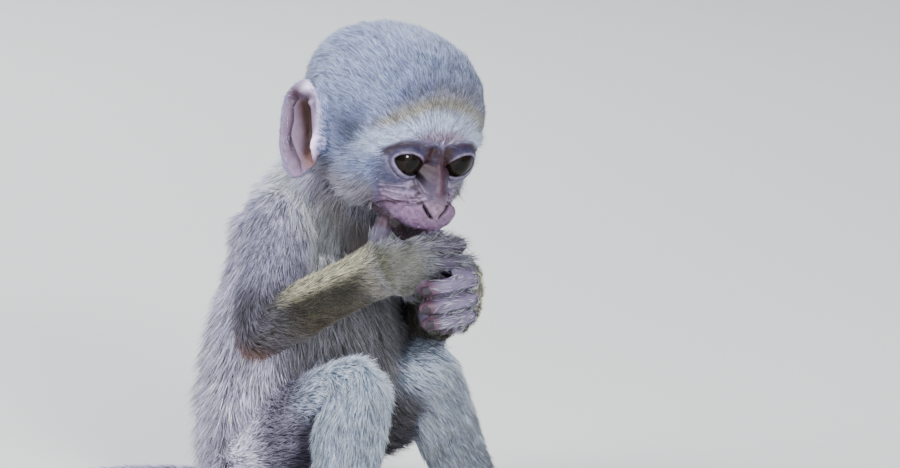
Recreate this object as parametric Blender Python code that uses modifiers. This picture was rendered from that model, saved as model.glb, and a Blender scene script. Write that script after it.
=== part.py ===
"""An infant vervet monkey, sitting hunched with both hands at its mouth.

Blender 4.5, metres, +Z up. The animal faces -Y and its left side is +X. The origin is the middle of
the flat that it sits on. Every solid follows the outside of the coat, and the solids meet with a
thin gap, so that each part of the body is a closed piece of its own.
"""

import math

import bmesh
import bpy
from mathutils import Matrix, Vector

MM = 0.001
GAP = 0.3 * MM  # clear space between touching solids
VOXEL = 1.1 * MM  # grid on which the blobs of one part are melted together

# Pose: where the joints of the right and left limbs are, as x, y and z in millimetres.
JOINTS = {
    "shoulder_right": (-22, -12, 112), "shoulder_left": (22, -12, 112),
    "elbow_right": (-48, -20, 76), "elbow_left": (39, -27, 66),
    "wrist_right": (-33, -61, 100), "wrist_left": (8, -59, 78),
    "hip_right": (-16, 4, 26), "hip_left": (16, 4, 26),
    "knee_right": (-20, -44, 55), "knee_left": (19, -45, 54),
    "ankle_right": (-44, -56, 9), "ankle_left": (39, -53, 9),
}
HEAD = Vector((-0.0053, -0.0502, 0.1500))  # middle of the braincase
HEAD_TURN, HEAD_NOD, HEAD_TILT = -22.5, 14.0, 6.5  # degrees: to its right, down, to the side
EYE_OUT, EYE_FORWARD, EYE_DOWN = 0.0105, 0.0222, 0.0068
EYE_RADIUS, LID_RADIUS = 0.0078, 0.0086
TOES_OUT = {"right": 26, "left": -26}  # degrees that each foot turns out
TAIL = 0.225  # length


def heading(right, up):
    """Unit vector turned this many degrees from straight ahead to the animal's right, and up."""
    a, e = math.radians(right), math.radians(up)
    return Vector((-math.sin(a) * math.cos(e), -math.cos(a) * math.cos(e), math.sin(e)))


def head_frame():
    """The head's own frame: x to its left, -y forward, z up, from the middle of the braincase."""
    turn = Matrix.Rotation(math.radians(HEAD_TURN), 4, "Z")
    nod = Matrix.Rotation(math.radians(HEAD_NOD), 4, "X")
    tilt = Matrix.Rotation(math.radians(HEAD_TILT), 4, "Y")
    return Matrix.Translation(HEAD) @ turn @ nod @ tilt


def joint(name):
    return Vector(JOINTS[name]) * MM


# ---------------------------------------------------------------- tools


def finish(name, colour, roughness):
    """A plain material of one colour, given as red, green and blue from 0 to 1."""
    material = bpy.data.materials.new(name)
    material.use_nodes = True
    shader = material.node_tree.nodes["Principled BSDF"]
    shader.inputs["Base Color"].default_value = (*colour, 1.0)
    shader.inputs["Roughness"].default_value = roughness
    shader.inputs["Metallic"].default_value = 0.0
    return material


def clear_scene():
    for obj in list(bpy.data.objects):
        bpy.data.objects.remove(obj, do_unlink=True)


def new_object(name, bm, collection):
    mesh = bpy.data.meshes.new(name)
    bm.to_mesh(mesh)
    bm.free()
    obj = bpy.data.objects.new(name, mesh)
    collection.objects.link(obj)
    return obj


def evaluated(obj):
    """The object's mesh with its modifiers applied, and the modifiers gone."""
    graph = bpy.context.evaluated_depsgraph_get()
    mesh = bpy.data.meshes.new_from_object(obj.evaluated_get(graph))
    obj.modifiers.clear()
    obj.data = mesh
    return obj


def ball(centre, radii, turn=None, detail=3, power=2.0):
    """A bmesh of one ellipsoid. A power over 2 fills out its shoulders, towards a rounded box."""
    bm = bmesh.new()
    bmesh.ops.create_icosphere(bm, subdivisions=detail, radius=1.0)
    for vertex in bm.verts:
        vertex.co /= sum(abs(c) ** power for c in vertex.co) ** (1 / power)
    radii = Vector((radii, radii, radii)) if isinstance(radii, float) else Vector(radii)
    place = Matrix.Translation(centre) @ (turn or Matrix.Identity(4)) @ Matrix.Diagonal((*radii, 1.0))
    bmesh.ops.transform(bm, matrix=place, verts=bm.verts)
    return bm


def add_to(bm, other):
    mesh = bpy.data.meshes.new("part")
    other.to_mesh(mesh)
    other.free()
    bm.from_mesh(mesh)
    bpy.data.meshes.remove(mesh)


def run(bm, stations, turn=None):
    """Ellipsoids at the stations, each pair wrapped in one hull: a limb or a stretch of trunk."""
    for first, second in zip(stations, stations[1:]):
        pair = ball(first[0], first[1], turn, 2)
        add_to(pair, ball(second[0], second[1], turn, 2))
        hull = bmesh.new()
        for vertex in pair.verts:
            hull.verts.new(vertex.co)
        pair.free()
        bmesh.ops.convex_hull(hull, input=list(hull.verts))
        bmesh.ops.delete(hull, geom=[v for v in hull.verts if not v.link_faces], context="VERTS")
        add_to(bm, hull)


def melt(name, bm, collection, triangles, soften=5, voxel=VOXEL):
    """Melts overlapping closed shapes into one smooth skin, and thins it to about so many triangles."""
    obj = new_object(name, bm, collection)
    remesh = obj.modifiers.new("Melt", "REMESH")
    remesh.mode = "VOXEL"
    remesh.voxel_size = voxel
    smooth = obj.modifiers.new("Soften", "SMOOTH")
    smooth.factor = 0.5
    smooth.iterations = soften
    evaluated(obj)
    faces = sum(len(p.vertices) - 2 for p in obj.data.polygons)
    thin = obj.modifiers.new("Thin", "DECIMATE")
    thin.ratio = min(1.0, triangles / faces)
    return evaluated(obj)


def grown(obj, amount):
    """A copy of the solid pushed out along its normals, as a cutter."""
    cutter = bpy.data.objects.new(obj.name + "_cutter", obj.data.copy())
    bpy.data.collections["cutters"].objects.link(cutter)
    cutter.hide_render = True
    cutter.display_type = "WIRE"
    normals = [v.normal.copy() for v in cutter.data.vertices]
    for vertex, normal in zip(cutter.data.vertices, normals):
        vertex.co += normal * amount
    return cutter


def keep_largest(obj):
    """Drops the crumbs that a cut leaves, so that the solid is one body."""
    bm = bmesh.new()
    bm.from_mesh(obj.data)
    seen, islands = set(), []
    for start in bm.verts:
        if start in seen:
            continue
        stack, island = [start], []
        seen.add(start)
        while stack:
            vertex = stack.pop()
            island.append(vertex)
            for edge in vertex.link_edges:
                other = edge.other_vert(vertex)
                if other not in seen:
                    seen.add(other)
                    stack.append(other)
        islands.append(island)
    islands.sort(key=len)
    for island in islands[:-1]:
        bmesh.ops.delete(bm, geom=island, context="VERTS")
    bmesh.ops.remove_doubles(bm, verts=bm.verts, dist=0.01 * MM)
    bm.to_mesh(obj.data)
    bm.free()


def cut_clear(obj, *others):
    """Cuts the others from obj, with the gap, so that the two meet and don't overlap."""
    for other in others:
        cutter = grown(other, GAP)
        cut = obj.modifiers.new("Clear of " + other.name, "BOOLEAN")
        cut.operation = "DIFFERENCE"
        cut.object = cutter
        evaluated(obj)
        keep_largest(obj)
        bpy.data.objects.remove(cutter)
    return obj


def mitre(upper, lower, place, way):
    """Parts two lengths of a limb at a joint, with a thin cut square to way."""
    way = way.normalized()
    for obj, side in ((upper, 1), (lower, -1)):
        bm = bmesh.new()
        bm.from_mesh(obj.data)
        geom = list(bm.verts) + list(bm.edges) + list(bm.faces)
        edge = place - way * side * GAP / 2
        bmesh.ops.bisect_plane(bm, geom=geom, dist=1e-6, plane_co=edge, plane_no=way * side, clear_outer=True)
        bmesh.ops.holes_fill(bm, edges=[e for e in bm.edges if e.is_boundary], sides=0)
        bmesh.ops.recalc_face_normals(bm, faces=bm.faces)
        bm.to_mesh(obj.data)
        bm.free()


def flatten_base(obj):
    """Cuts the solid off flat at the floor."""
    bm = bmesh.new()
    bm.from_mesh(obj.data)
    geom = list(bm.verts) + list(bm.edges) + list(bm.faces)
    bmesh.ops.bisect_plane(bm, geom=geom, dist=1e-6, plane_co=(0, 0, 0), plane_no=(0, 0, -1), clear_outer=True)
    open_edges = [e for e in bm.edges if e.is_boundary]
    bmesh.ops.holes_fill(bm, edges=open_edges, sides=0)
    bmesh.ops.recalc_face_normals(bm, faces=bm.faces)
    bm.to_mesh(obj.data)
    bm.free()
    return obj


# ---------------------------------------------------------------- the body


def make_trunk(body):
    bm = bmesh.new()
    run(bm, [
        (Vector((0, 0.004, 0.020)), (0.028, 0.0285, 0.024)),
        (Vector((0, 0.004, 0.045)), (0.029, 0.0280, 0.024)),
        (Vector((0, 0.003, 0.070)), (0.0265, 0.0255, 0.024)),
        (Vector((0, -0.001, 0.092)), (0.0245, 0.0235, 0.022)),
        (Vector((0, -0.010, 0.112)), (0.023, 0.0215, 0.018)),
    ])
    run(bm, [  # belly and chest
        (Vector((0.002, -0.019, 0.058)), (0.023, 0.022, 0.026)),
        (Vector((0.002, -0.016, 0.078)), (0.023, 0.021, 0.022)),
        (Vector((0, -0.012, 0.096)), (0.021, 0.018, 0.018)),
    ])
    for side in (-1, 1):
        run(bm, [
            (Vector((side * 0.010, -0.003, 0.102)), 0.018),
            (Vector((side * 0.016, -0.011, 0.109)), 0.013),
        ])
    trunk = melt("trunk", bm, body, 680, 10)
    return flatten_base(trunk)


def make_neck(body):
    bm = bmesh.new()
    run(bm, [
        (Vector((0.000, -0.012, 0.112)), (0.021, 0.020, 0.018)),
        (Vector((-0.001, -0.026, 0.125)), (0.021, 0.021, 0.017)),
        (head_frame() @ Vector((0.000, 0.006, -0.016)), (0.022, 0.022, 0.016)),
    ])
    return melt("neck", bm, body, 200, 8)


def make_head(body):
    frame = head_frame()
    turn = frame.to_3x3().to_4x4()

    def at(x, forward, z):
        return frame @ Vector((x * MM, -forward * MM, z * MM))

    def size(*mm):
        return tuple(v * MM for v in mm)

    bm = bmesh.new()
    add_to(bm, ball(at(0, -4, 1.0), size(30.0, 35.0, 30.2), turn, 3, 2.45))  # braincase
    add_to(bm, ball(at(0, 8, 1.5), size(27.0, 22.5, 25.8), turn))  # forehead
    run(bm, [(at(x, 24.0 - 0.016 * x * x, 5.0), size(5, 5, 4.5)) for x in (-19, -10, 0, 10, 19)], turn)  # brow
    add_to(bm, ball(at(0, 14.0, -8), size(22, 11.5, 13), turn))  # face between the cheeks
    for side in (-1, 1):  # lids, and cheeks with their long whiskers
        add_to(bm, ball(at(side * EYE_OUT / MM, EYE_FORWARD / MM, -EYE_DOWN / MM), LID_RADIUS))
        run(bm, [(at(side * 19, 7, -6), size(9.5, 11, 13)), (at(side * 14, 11, -17), size(11, 11.5, 12))], turn)
    run(bm, [
        (at(0, 13, -16), size(16.5, 12, 13)),
        (at(0, 22.5, -21.3), size(13.6, 9, 10.2)),
        (at(0, 29.0, -24.4), size(12.4, 6.8, 7.4)),
    ], turn)  # muzzle
    run(bm, [(at(0, 23.0, -1), size(3.6, 3.6, 5)), (at(0, 32.6, -16.8), size(4.8, 4.2, 4.0))], turn)  # nose
    run(bm, [(at(0, 6, -22), size(17, 13, 10.5)), (at(0, 19.5, -29.0), size(9.5, 8, 6))], turn)  # jaw
    head = melt("head", bm, body, 880, 4, 0.9 * MM)
    for side in (-1, 1):
        slit = ball(at(side * (EYE_OUT / MM + 0.4), 29.5, -EYE_DOWN / MM), size(6.8, 6.0, 4.8), turn, 2)
        lids = new_object("lids", slit, bpy.data.collections["cutters"])
        cut_clear(head, lids)
        bpy.data.objects.remove(lids)
    return head


def make_eyes(body):
    frame = head_frame()
    eyes = []
    for side, sign in (("right", -1), ("left", 1)):
        centre = frame @ Vector((sign * EYE_OUT, -EYE_FORWARD, -EYE_DOWN))
        eyes.append(new_object("eye_" + side, ball(centre, EYE_RADIUS, None, 3), body))
    return eyes


def make_ear(body, side, sign, head):
    """The pinna: a domed oval sheet with a rolled rim, given its thickness by Solidify."""
    high, deep, thick = 0.0196, 0.0112, 0.0022
    bm = bmesh.new()
    bmesh.ops.create_circle(bm, cap_ends=True, cap_tris=True, segments=28, radius=1.0)
    bmesh.ops.subdivide_edges(bm, edges=list(bm.edges), cuts=2, use_grid_fill=True)
    for vertex in bm.verts:
        r = min(1.0, vertex.co.xy.length)
        vertex.co.z = 0.34 * r * r - 0.22 * r**6  # the bowl, with its rim turned out again
    flare = Matrix.Rotation(math.radians(sign * -9), 4, "Z")
    upright = Matrix.Rotation(math.radians(sign * 90), 4, "Y")
    lean = Matrix.Rotation(math.radians(-8), 4, "X")
    place = head_frame() @ Matrix.Translation((sign * 0.0314, 0.0100, -0.0072)) @ flare @ lean
    bmesh.ops.transform(bm, matrix=place @ upright @ Matrix.Diagonal((high, deep, 0.014, 1.0)), verts=bm.verts)
    bmesh.ops.recalc_face_normals(bm, faces=bm.faces)
    ear = new_object("ear_" + side, bm, body)
    shell = ear.modifiers.new("Thickness", "SOLIDIFY")
    shell.thickness = thick
    shell.offset = 0.0
    evaluated(ear)
    bm = bmesh.new()
    bm.from_mesh(ear.data)
    add_to(bm, ball(place @ Vector((-sign * 0.003, -0.005, -0.001)), (0.005, 0.005, 0.011)))
    bpy.data.objects.remove(ear)
    ear = melt("ear_" + side, bm, body, 300, 3, 0.7 * MM)
    return cut_clear(ear, head)


def limb(name, body, stations, triangles, soften=5, voxel=VOXEL):
    bm = bmesh.new()
    run(bm, stations)
    return melt(name, bm, body, triangles, soften, voxel)


def make_arm(body, side):
    shoulder, elbow, wrist = (joint(name + side) for name in ("shoulder_", "elbow_", "wrist_"))
    upper = limb("upper_arm_" + side, body, [
        (shoulder, 0.0138),
        (shoulder.lerp(elbow, 0.35), 0.0138),
        (shoulder.lerp(elbow, 0.75), 0.0118),
        (elbow, 0.0092),
    ], 200)
    fore = limb("forearm_" + side, body, [
        (elbow, 0.0092),
        (elbow.lerp(wrist, 0.25), 0.0110),
        (elbow.lerp(wrist, 0.60), 0.0102),
        (wrist, 0.0096),
    ], 220)
    mitre(upper, fore, elbow, (elbow - shoulder).normalized() + (wrist - elbow).normalized())
    return upper, fore


def fingers(bm, *digits):
    """Each digit is a row of x, y, z places in millimetres and the thickness at its root."""
    for thick, *places in digits:
        count = len(places)
        run(bm, [(Vector(at) * MM, thick * MM * (1 - 0.20 * i / count)) for i, at in enumerate(places)])


def make_hand_right(body):
    """Its back faces out to the right, and its first two fingers lie along the lower lip."""
    wrist = joint("wrist_right")
    bm = bmesh.new()
    for root in ((-20, -72, 106.5), (-20, -72, 102), (-22, -70, 98), (-24, -67, 95)):
        run(bm, [(wrist, 0.0096), (Vector(root) * MM, 0.0044)])
    fingers(
        bm,
        (3.5, (-20, -72, 107.6), (-12, -77, 108.2), (-6, -77, 106.2), (-4, -72, 104)),
        (3.5, (-20, -72, 102), (-10, -78, 101.8), (-2, -77, 99.5), (0, -73, 98)),
        (3.5, (-22, -70, 98), (-14, -70, 97), (-8, -65, 96)),
        (3.5, (-24, -67, 95), (-16, -65, 93.5), (-10, -60, 92.5)),
        (3.9, (-32, -60, 104), (-31.5, -60, 110), (-29.5, -61, 116.5)),
    )
    return melt("hand_right", bm, body, 440, 2, 0.7 * MM)


def make_hand_left(body):
    """Its back faces ahead, and its fingers wrap round to the right hand, one above the other."""
    wrist = joint("wrist_left")
    bm = bmesh.new()
    for root in ((2, -76, 94), (3, -76, 88.5), (3, -75, 83), (3, -72, 79)):
        run(bm, [(wrist, 0.0080), (Vector(root) * MM, 0.0042)])
    fingers(
        bm,
        (3.4, (2, -77, 94.5), (-8, -83, 94.8), (-17, -80, 94), (-23, -74.5, 92.5)),
        (3.3, (3, -77, 88.5), (-8, -83, 88.2), (-17, -80.5, 87.2), (-24, -75, 86.3)),
        (3.2, (3, -76, 82.5), (-7, -82, 82), (-16, -79.5, 81.2), (-22, -75, 80.5)),
        (2.9, (3, -73, 78.5), (-5, -77, 77.5), (-13, -76, 77.5)),
        (4.0, (3, -67, 86), (-2, -68, 92.5), (-7, -68, 94.5)),
    )
    return melt("hand_left", bm, body, 440, 2, 0.7 * MM)


def make_leg(body, side):
    hip, knee, ankle = (joint(name + side) for name in ("hip_", "knee_", "ankle_"))
    calf = Vector((0, 0.003, 0))
    hang = Vector((0, 0, -0.0115))  # the slack flesh and long hair under the thigh
    bm = bmesh.new()
    run(bm, [
        (hip, (0.0170, 0.0185, 0.0185)),
        (hip.lerp(knee, 0.40), 0.0175),
        (hip.lerp(knee, 0.80), 0.0145),
        (knee, 0.0125),
    ])
    run(bm, [(hip.lerp(knee, 0.30) + hang / 2, 0.0135), (hip.lerp(knee, 0.74) + hang, 0.0110)])
    thigh = melt("thigh_" + side, bm, body, 280)
    shin = limb("shin_" + side, body, [
        (knee, 0.0125),
        (knee.lerp(ankle, 0.35) + calf, 0.0145),
        (knee.lerp(ankle, 0.75) + calf, 0.0120),
        (ankle, 0.0085),
    ], 280)
    mitre(thigh, shin, knee, (knee - hip).normalized() + (ankle - knee).normalized())
    return thigh, shin


def make_foot(body, side, sign):
    """A long narrow foot, heel and toes on the floor, the big toe set apart."""
    ankle = joint("ankle_" + side)
    ahead = heading(TOES_OUT[side], 0)
    inward = ahead.cross(Vector((0, 0, 1))) * -sign
    heel = ankle - ahead * 0.007
    arch = ankle + ahead * 0.012
    ball_of = ankle + ahead * 0.026
    heel.z, arch.z, ball_of.z = 0.0062, 0.0062, 0.0046
    bm = bmesh.new()
    run(bm, [(ankle + Vector((0, 0, 0.004)), 0.0084), (heel, 0.0070), (arch, 0.0068), (ball_of, 0.0052)])
    run(bm, [(ankle + Vector((0, 0, 0.004)), 0.0084), (arch, 0.0068)])
    for i in range(4):
        spread = i - 1.4
        root = ball_of - inward * (0.0054 * spread) - ahead * 0.0012 * abs(i - 1)
        way = (ahead - inward * 0.08 * spread).normalized()
        middle = root + way * 0.011 + Vector((0, 0, 0.0010))
        tip = middle + way * (0.011 - 0.0010 * abs(i - 1))
        root.z, tip.z = 0.0042, 0.0034
        run(bm, [(arch, 0.0056), (root, 0.0046), (middle, 0.0038), (tip, 0.0035)])
    big = ankle + ahead * 0.012 + inward * 0.004
    big_tip = big + (ahead * 0.70 + inward * 0.71) * 0.022
    big.z, big_tip.z = 0.0050, 0.0038
    run(bm, [(big, 0.0055), (big.lerp(big_tip, 0.5), 0.0046), (big_tip, 0.0040)])
    foot = melt("foot_" + side, bm, body, 350, 2, 0.8 * MM)
    return flatten_base(foot)


def tail_points():
    """The tail leaves the rump, drops to the floor and sweeps round the animal's right side."""
    step, rest = 0.0075, 0.0058
    place, points = Vector((0.0, 0.020, 0.0165)), []
    count = round(TAIL / step)
    for i in range(count + 1):
        share = i / count
        points.append(place.copy())
        turned = min(1.0, max(0.0, share - 0.06) / 0.75) ** 0.9
        drop = -30 if place.z > rest + 0.002 else 0
        place = place + heading(180 - 190 * turned, drop) * step
        place.z = max(place.z, rest - 0.0026 * share)
    return points


def make_tail(body):
    points = tail_points()
    count = len(points) - 1
    ends = (0, round(count * 0.30), round(count * 0.64), count)
    solids = []
    for name, first, last in zip(("tail_base", "tail_middle", "tail_tip"), ends, ends[1:]):
        stations = [(points[i], 0.0068 - 0.0030 * i / count) for i in range(first, last + 1)]
        solids.append(limb(name, body, stations, 220, 3, 0.9 * MM))
    for upper, lower, end in zip(solids, solids[1:], ends[1:]):
        mitre(upper, lower, points[end], points[end + 1] - points[end - 1])
    for solid in solids:
        flatten_base(solid)
    return solids


def paint(body):
    """Gives each sub-part a material of its own, in the colour that its coat or skin has."""
    looks = (
        ("eye", (0.030, 0.016, 0.010), 0.08),
        ("ear", (0.42, 0.25, 0.22), 0.55),
        ("hand", (0.20, 0.17, 0.17), 0.60),
        ("foot", (0.16, 0.13, 0.13), 0.60),
        ("forearm", (0.27, 0.25, 0.18), 0.85),
        ("shin", (0.40, 0.41, 0.43), 0.85),
        ("tail", (0.30, 0.29, 0.29), 0.85),
        ("", (0.33, 0.33, 0.36), 0.85),
    )
    for obj in body.objects:
        colour, roughness = next(look[1:] for look in looks if obj.name.startswith(look[0]))
        obj.data.materials.append(finish(obj.name, colour, roughness))


def main():
    clear_scene()
    body = bpy.data.collections.new("vervet_infant")
    cutters = bpy.data.collections.new("cutters")
    for collection in (body, cutters):
        bpy.context.scene.collection.children.link(collection)
    trunk = make_trunk(body)
    head = make_head(body)
    cut_clear(head, *make_eyes(body))
    neck = cut_clear(make_neck(body), trunk, head)
    for side, sign in (("right", -1), ("left", 1)):
        cut_clear(make_ear(body, side, sign, head), neck)
    hands = {"right": make_hand_right(body), "left": make_hand_left(body)}
    cut_clear(hands["right"], head)
    cut_clear(hands["left"], head, hands["right"])
    for side, sign in (("right", -1), ("left", 1)):
        upper, fore = make_arm(body, side)
        mitre(fore, hands[side], joint("wrist_" + side), joint("wrist_" + side) - joint("elbow_" + side))
        cut_clear(upper, trunk, neck)
        thigh, shin = make_leg(body, side)
        cut_clear(thigh, trunk)
        cut_clear(fore, thigh, shin)
        foot = make_foot(body, side, sign)
        mitre(shin, foot, joint("ankle_" + side) + Vector((0, 0, 0.002)), Vector((0, 0, -1)))
    tail = make_tail(body)
    cut_clear(tail[0], trunk)
    for obj in body.objects:
        obj.data.shade_smooth()
    paint(body)


main()
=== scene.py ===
"""Looks for a life-size infant vervet monkey: skin, eyes, nails and a coat of solid tufts.

One skin replaces the model's flesh and lies inside it by the depth of the coat. The coat is built
over that skin as thin closed tufts that follow the lie of the hair. Skin and coat take their
colours from the same table, which holds the coat's pattern and painted light and shade. Lengths on
the head are in millimetres in the head's own frame: out to its left, forward along the gaze, and up.
"""

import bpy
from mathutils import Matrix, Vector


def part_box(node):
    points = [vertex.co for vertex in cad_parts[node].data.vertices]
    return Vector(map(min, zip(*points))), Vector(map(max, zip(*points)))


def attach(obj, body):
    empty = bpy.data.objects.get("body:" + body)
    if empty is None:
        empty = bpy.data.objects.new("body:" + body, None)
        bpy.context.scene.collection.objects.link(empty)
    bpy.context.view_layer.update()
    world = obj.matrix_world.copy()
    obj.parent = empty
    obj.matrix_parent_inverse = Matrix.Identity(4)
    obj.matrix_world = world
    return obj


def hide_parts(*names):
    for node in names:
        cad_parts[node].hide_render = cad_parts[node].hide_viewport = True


bl_info = {
    "name": "Infant Vervet Coat",
    "version": (1, 0, 0),
    "blender": (4, 5, 0),
    "location": "3D View > Sidebar > Vervet",
    "description": "Skin, eyes, nails and fur for a sitting infant vervet monkey",
    "category": "Object",
}

import math

import bmesh
import bpy
import numpy as np
from mathutils import Matrix, Vector
from mathutils.bvhtree import BVHTree
from mathutils.kdtree import KDTree

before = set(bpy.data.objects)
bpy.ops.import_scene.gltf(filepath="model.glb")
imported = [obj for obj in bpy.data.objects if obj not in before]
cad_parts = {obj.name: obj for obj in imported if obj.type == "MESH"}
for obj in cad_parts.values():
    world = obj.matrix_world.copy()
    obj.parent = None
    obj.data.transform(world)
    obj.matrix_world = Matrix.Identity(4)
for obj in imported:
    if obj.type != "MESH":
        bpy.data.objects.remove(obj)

MM = 0.001
SKIN_CLEAR, HAIR_CLEAR = 0.1 * MM, 0.5 * MM  # least height of the skin and of hair ends above the floor
UP = Vector((0.0, 0.0, 1.0))
SIDES = ("right", "left")
EYE_NODES = ("eye_right", "eye_left")
FLESH = tuple(sorted(set(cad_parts) - set(EYE_NODES)))
# painted light: the left hand's fur, finger hair and skin are made lighter and the right hand's darker, lit
# and shaded copies of one fur and skin
PAWS = {  # the way each palm or sole faces, and how light its fur, its digits' hair and its skin are
    "hand_right": {"palm": (1.0, 0.3, -0.3), "fur": 0.8, "digits": 0.8, "skin": 0.65},
    "hand_left": {"palm": (0.1, 1.0, -0.2), "fur": 2.6, "digits": 1.7, "skin": 1.6},
    "foot_right": {"palm": (0.0, 0.0, -1.0), "fur": 1.0, "digits": 0.6, "skin": 0.5},
    "foot_left": {"palm": (0.0, 0.0, -1.0), "fur": 1.0, "digits": 0.6, "skin": 0.5},
}
EYE_OUT, EYE_AHEAD, EYE_BELOW = 10.5, 22.2, 6.8  # of an eyeball's middle from the head's, in millimetres


# ---------------------------------------------------------------- settings


def linear(code):
    """An sRGB hex colour as linear red, green and blue."""
    parts = [int(code[i:i + 2], 16) / 255 for i in (1, 3, 5)]
    return tuple(v / 12.92 if v <= 0.04045 else ((v + 0.055) / 1.055) ** 2.4 for v in parts)


def millimetres(label, text, value):
    return bpy.props.FloatProperty(
        name=label, description=text, default=value * MM, min=0.0, precision=5, unit="LENGTH"
    )


def degrees(label, text, value):
    return bpy.props.FloatProperty(
        name=label, description=text, default=math.radians(value), subtype="ANGLE"
    )


def colour(label, text, code):
    return bpy.props.FloatVectorProperty(
        name=label, description=text, default=linear(code), size=3, min=0.0, max=1.0, subtype="COLOR"
    )


class VervetSizes(bpy.types.PropertyGroup):
    """Sizes of the head, the skin and the coat."""

    nod: degrees("Nod", "How far the face dips below level", 14)
    eye_radius: millimetres("Eyeball", "Radius of an eyeball", 7.8)
    iris_radius: millimetres("Iris", "Radius of the iris", 5.3)
    pupil_radius: millimetres("Pupil", "Radius of the pupil", 2.1)
    weld: millimetres("Weld", "How far the flesh is grown so that neighbours join", 0.35)
    skin_grid: millimetres("Skin grid", "Spacing of the skin's first mesh", 1.1)
    patch: millimetres("Patch", "Width of a tuft's patch on its UV map, on a map one metre wide", 3.0)


class VervetColours(bpy.types.PropertyGroup):
    """Colours of the coat, the bare skin and the eyes."""

    crown: colour("Crown", "Ticked grey of the crown and temples", "#7987b9")
    crown_tip: colour("Crown tips", "Pale ends of the crown's hairs", "#bcc9f3")
    crown_fleck: colour("Crown flecks", "Dark ends scattered over the crown", "#464a6a")
    brow: colour("Brow", "White band over the eyes", "#c7d6f9")
    brow_gold: colour("Gold brow", "Yellow band over the white one", "#8d7d33")
    # painted shade: the hollow before the ear is darkened as if in shadow
    temple_painted_shade: colour("Temple", "Dark blue-grey hollow before the ear", "#232c4c")
    throat: colour("Throat", "Grey-brown fur of the throat", "#7a6e67")
    # painted highlight: a near-white streak standing in for light falling on the neck and shoulder front
    painted_light_streak: colour("Shoulder front", "Pale streak from the neck down the shoulder", "#eff5fe")
    # painted shade: near-black standing in for the shadow between the thighs and under the belly
    under: colour("Underside", "Dark thin fur between the thighs", "#25262a")
    arm: colour("Upper arm", "Grey of the upper arm", "#858299")
    # partly the elbow's darker fur, partly painted shade of the arm over the elbow
    elbow_dark_and_shade: colour("Elbow grey", "Dark grey-brown fur over the elbow", "#322d21")
    face_side: colour("Cheek skin", "Blue-grey skin beside and below the eyes", "#3f4057")
    nose_bridge: colour("Nose bridge", "Darker skin along the nose", "#3b2434")
    brow_skin: colour("Brow skin", "Pink skin over the brow fold", "#8e6676")
    cheek: colour("Cheek", "Grey-brown fur below the ear and on the cheek", "#796d6d")
    back: colour("Back", "Ticked grey of the back", "#a9a1c2")
    back_tip: colour("Back tips", "Pale ends of the back's hairs", "#d3d2f5")
    flank: colour("Flank", "Pale grey of the flank and rump", "#d0c8dd")
    # painted shade: the whitish fur is darkened to mid grey as if shaded under the chest
    belly: colour("Belly", "Thin whitish fur of the chest and belly", "#777774")
    # painted light on the forearm: its fur darkened as in shade, lighter along its top where light falls,
    # and a darker ochre underside, over its real olive and ochre fur
    forearm: colour("Forearm", "Olive ticked fur of the forearm", "#17140c")
    forearm_tip: colour("Forearm tips", "Straw-coloured ends on the forearm", "#373427")
    forearm_top_and_highlight: colour("Forearm top", "Lighter fur along the forearm's top", "#706c6a")
    forearm_straw: colour("Straw tips", "Straw-coloured hair ends", "#c6c0a0")
    ochre_and_under_shade: colour("Ochre", "Ochre fur under the forearm", "#1e0e01")
    hand_fur: colour("Hand fur", "Olive-grey fur on the back of the hand", "#2d2c25")
    hand_straw: colour("Hand tips", "Pale ends of the hand's hairs", "#80806b")
    elbow: colour("Elbow", "Red-brown patch at the elbow", "#98613a")
    knee: colour("Knee", "Blue-white fur of the knee and shin", "#9bb6db")
    knee_tip: colour("Knee tips", "Pale streaks down the shin", "#dce1ec")
    thigh: colour("Thigh", "Grey fur of the thigh", "#3a3241")
    paw: colour("Hand and foot", "Dark skin of the hands and feet", "#534b60")
    paw_tip: colour("Finger tips", "Pinkish tips of fingers and toes", "#3e2b37")
    paw_hair: colour("Finger hairs", "Silvery hairs on the fingers", "#a2a8b9")
    tail_tip: colour("Tail end", "Dark end of the tail", "#3f3e48")
    face: colour("Face", "Pink-mauve bare skin of the face", "#664e69")
    face_eye: colour("Eye surround", "Greyer skin round the eyes", "#58536c")
    nose: colour("Nose", "Browner skin of the nose", "#796374")
    # partly the lid's grey-pink skin, partly painted shade cast by the brow over the upper lid
    lid: colour("Upper lid", "Grey-pink skin of the upper lid", "#282640")
    # the pale lid margins, and also painted highlights on the ridges between the creases under the eyes
    lid_edge_and_ridge_highlight: colour("Lid edge", "Pale edges of the lids", "#85758f")
    # partly the dark reddish skin beside the nose, partly painted shade in the folds and creases of the face
    face_dark_and_crease_shade: colour("Inner brow", "Dark reddish skin beside the nose", "#281318")
    # darker lip skin, also used darkened as painted shade in the mouth line, the nostrils and under the lip
    lips: colour("Lips", "Darker skin of the lips", "#5b424e")
    ear: colour("Ear", "Pink skin of the ear", "#78657e")
    # partly the red-brown skin of the hollow, partly painted shade in the bowl and grooves
    ear_hollow_and_shade: colour("Ear hollow", "Red-brown skin in the ear's hollow", "#2d120e")
    ear_pale: colour("Ear front", "Pink-white front of the ear", "#eedaff")
    ear_low: colour("Ear notch", "Orange-brown skin in the ear's lower hollow", "#624234")
    iris: colour("Iris", "Brown of the iris", "#0e0806")
    iris_edge: colour("Iris edge", "Dark ring round the iris", "#060505")
    sclera: colour("Eye white", "Brown-stained white of the eye", "#0e0b0b")
    nail: colour("Nail", "Dark horn of the nails", "#2e282f")
    floor: colour("Floor", "Pale studio floor", "#d9d9d6")


class VervetSettings(bpy.types.PropertyGroup):
    """All that a user may change."""

    sizes: bpy.props.PointerProperty(type=VervetSizes, name="Sizes")
    colours: bpy.props.PointerProperty(type=VervetColours, name="Colours")


def sizes():
    return bpy.context.scene.vervet.sizes


def tint(name):
    """A named colour as an array, in linear light."""
    return np.array(getattr(bpy.context.scene.vervet.colours, name))


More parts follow.
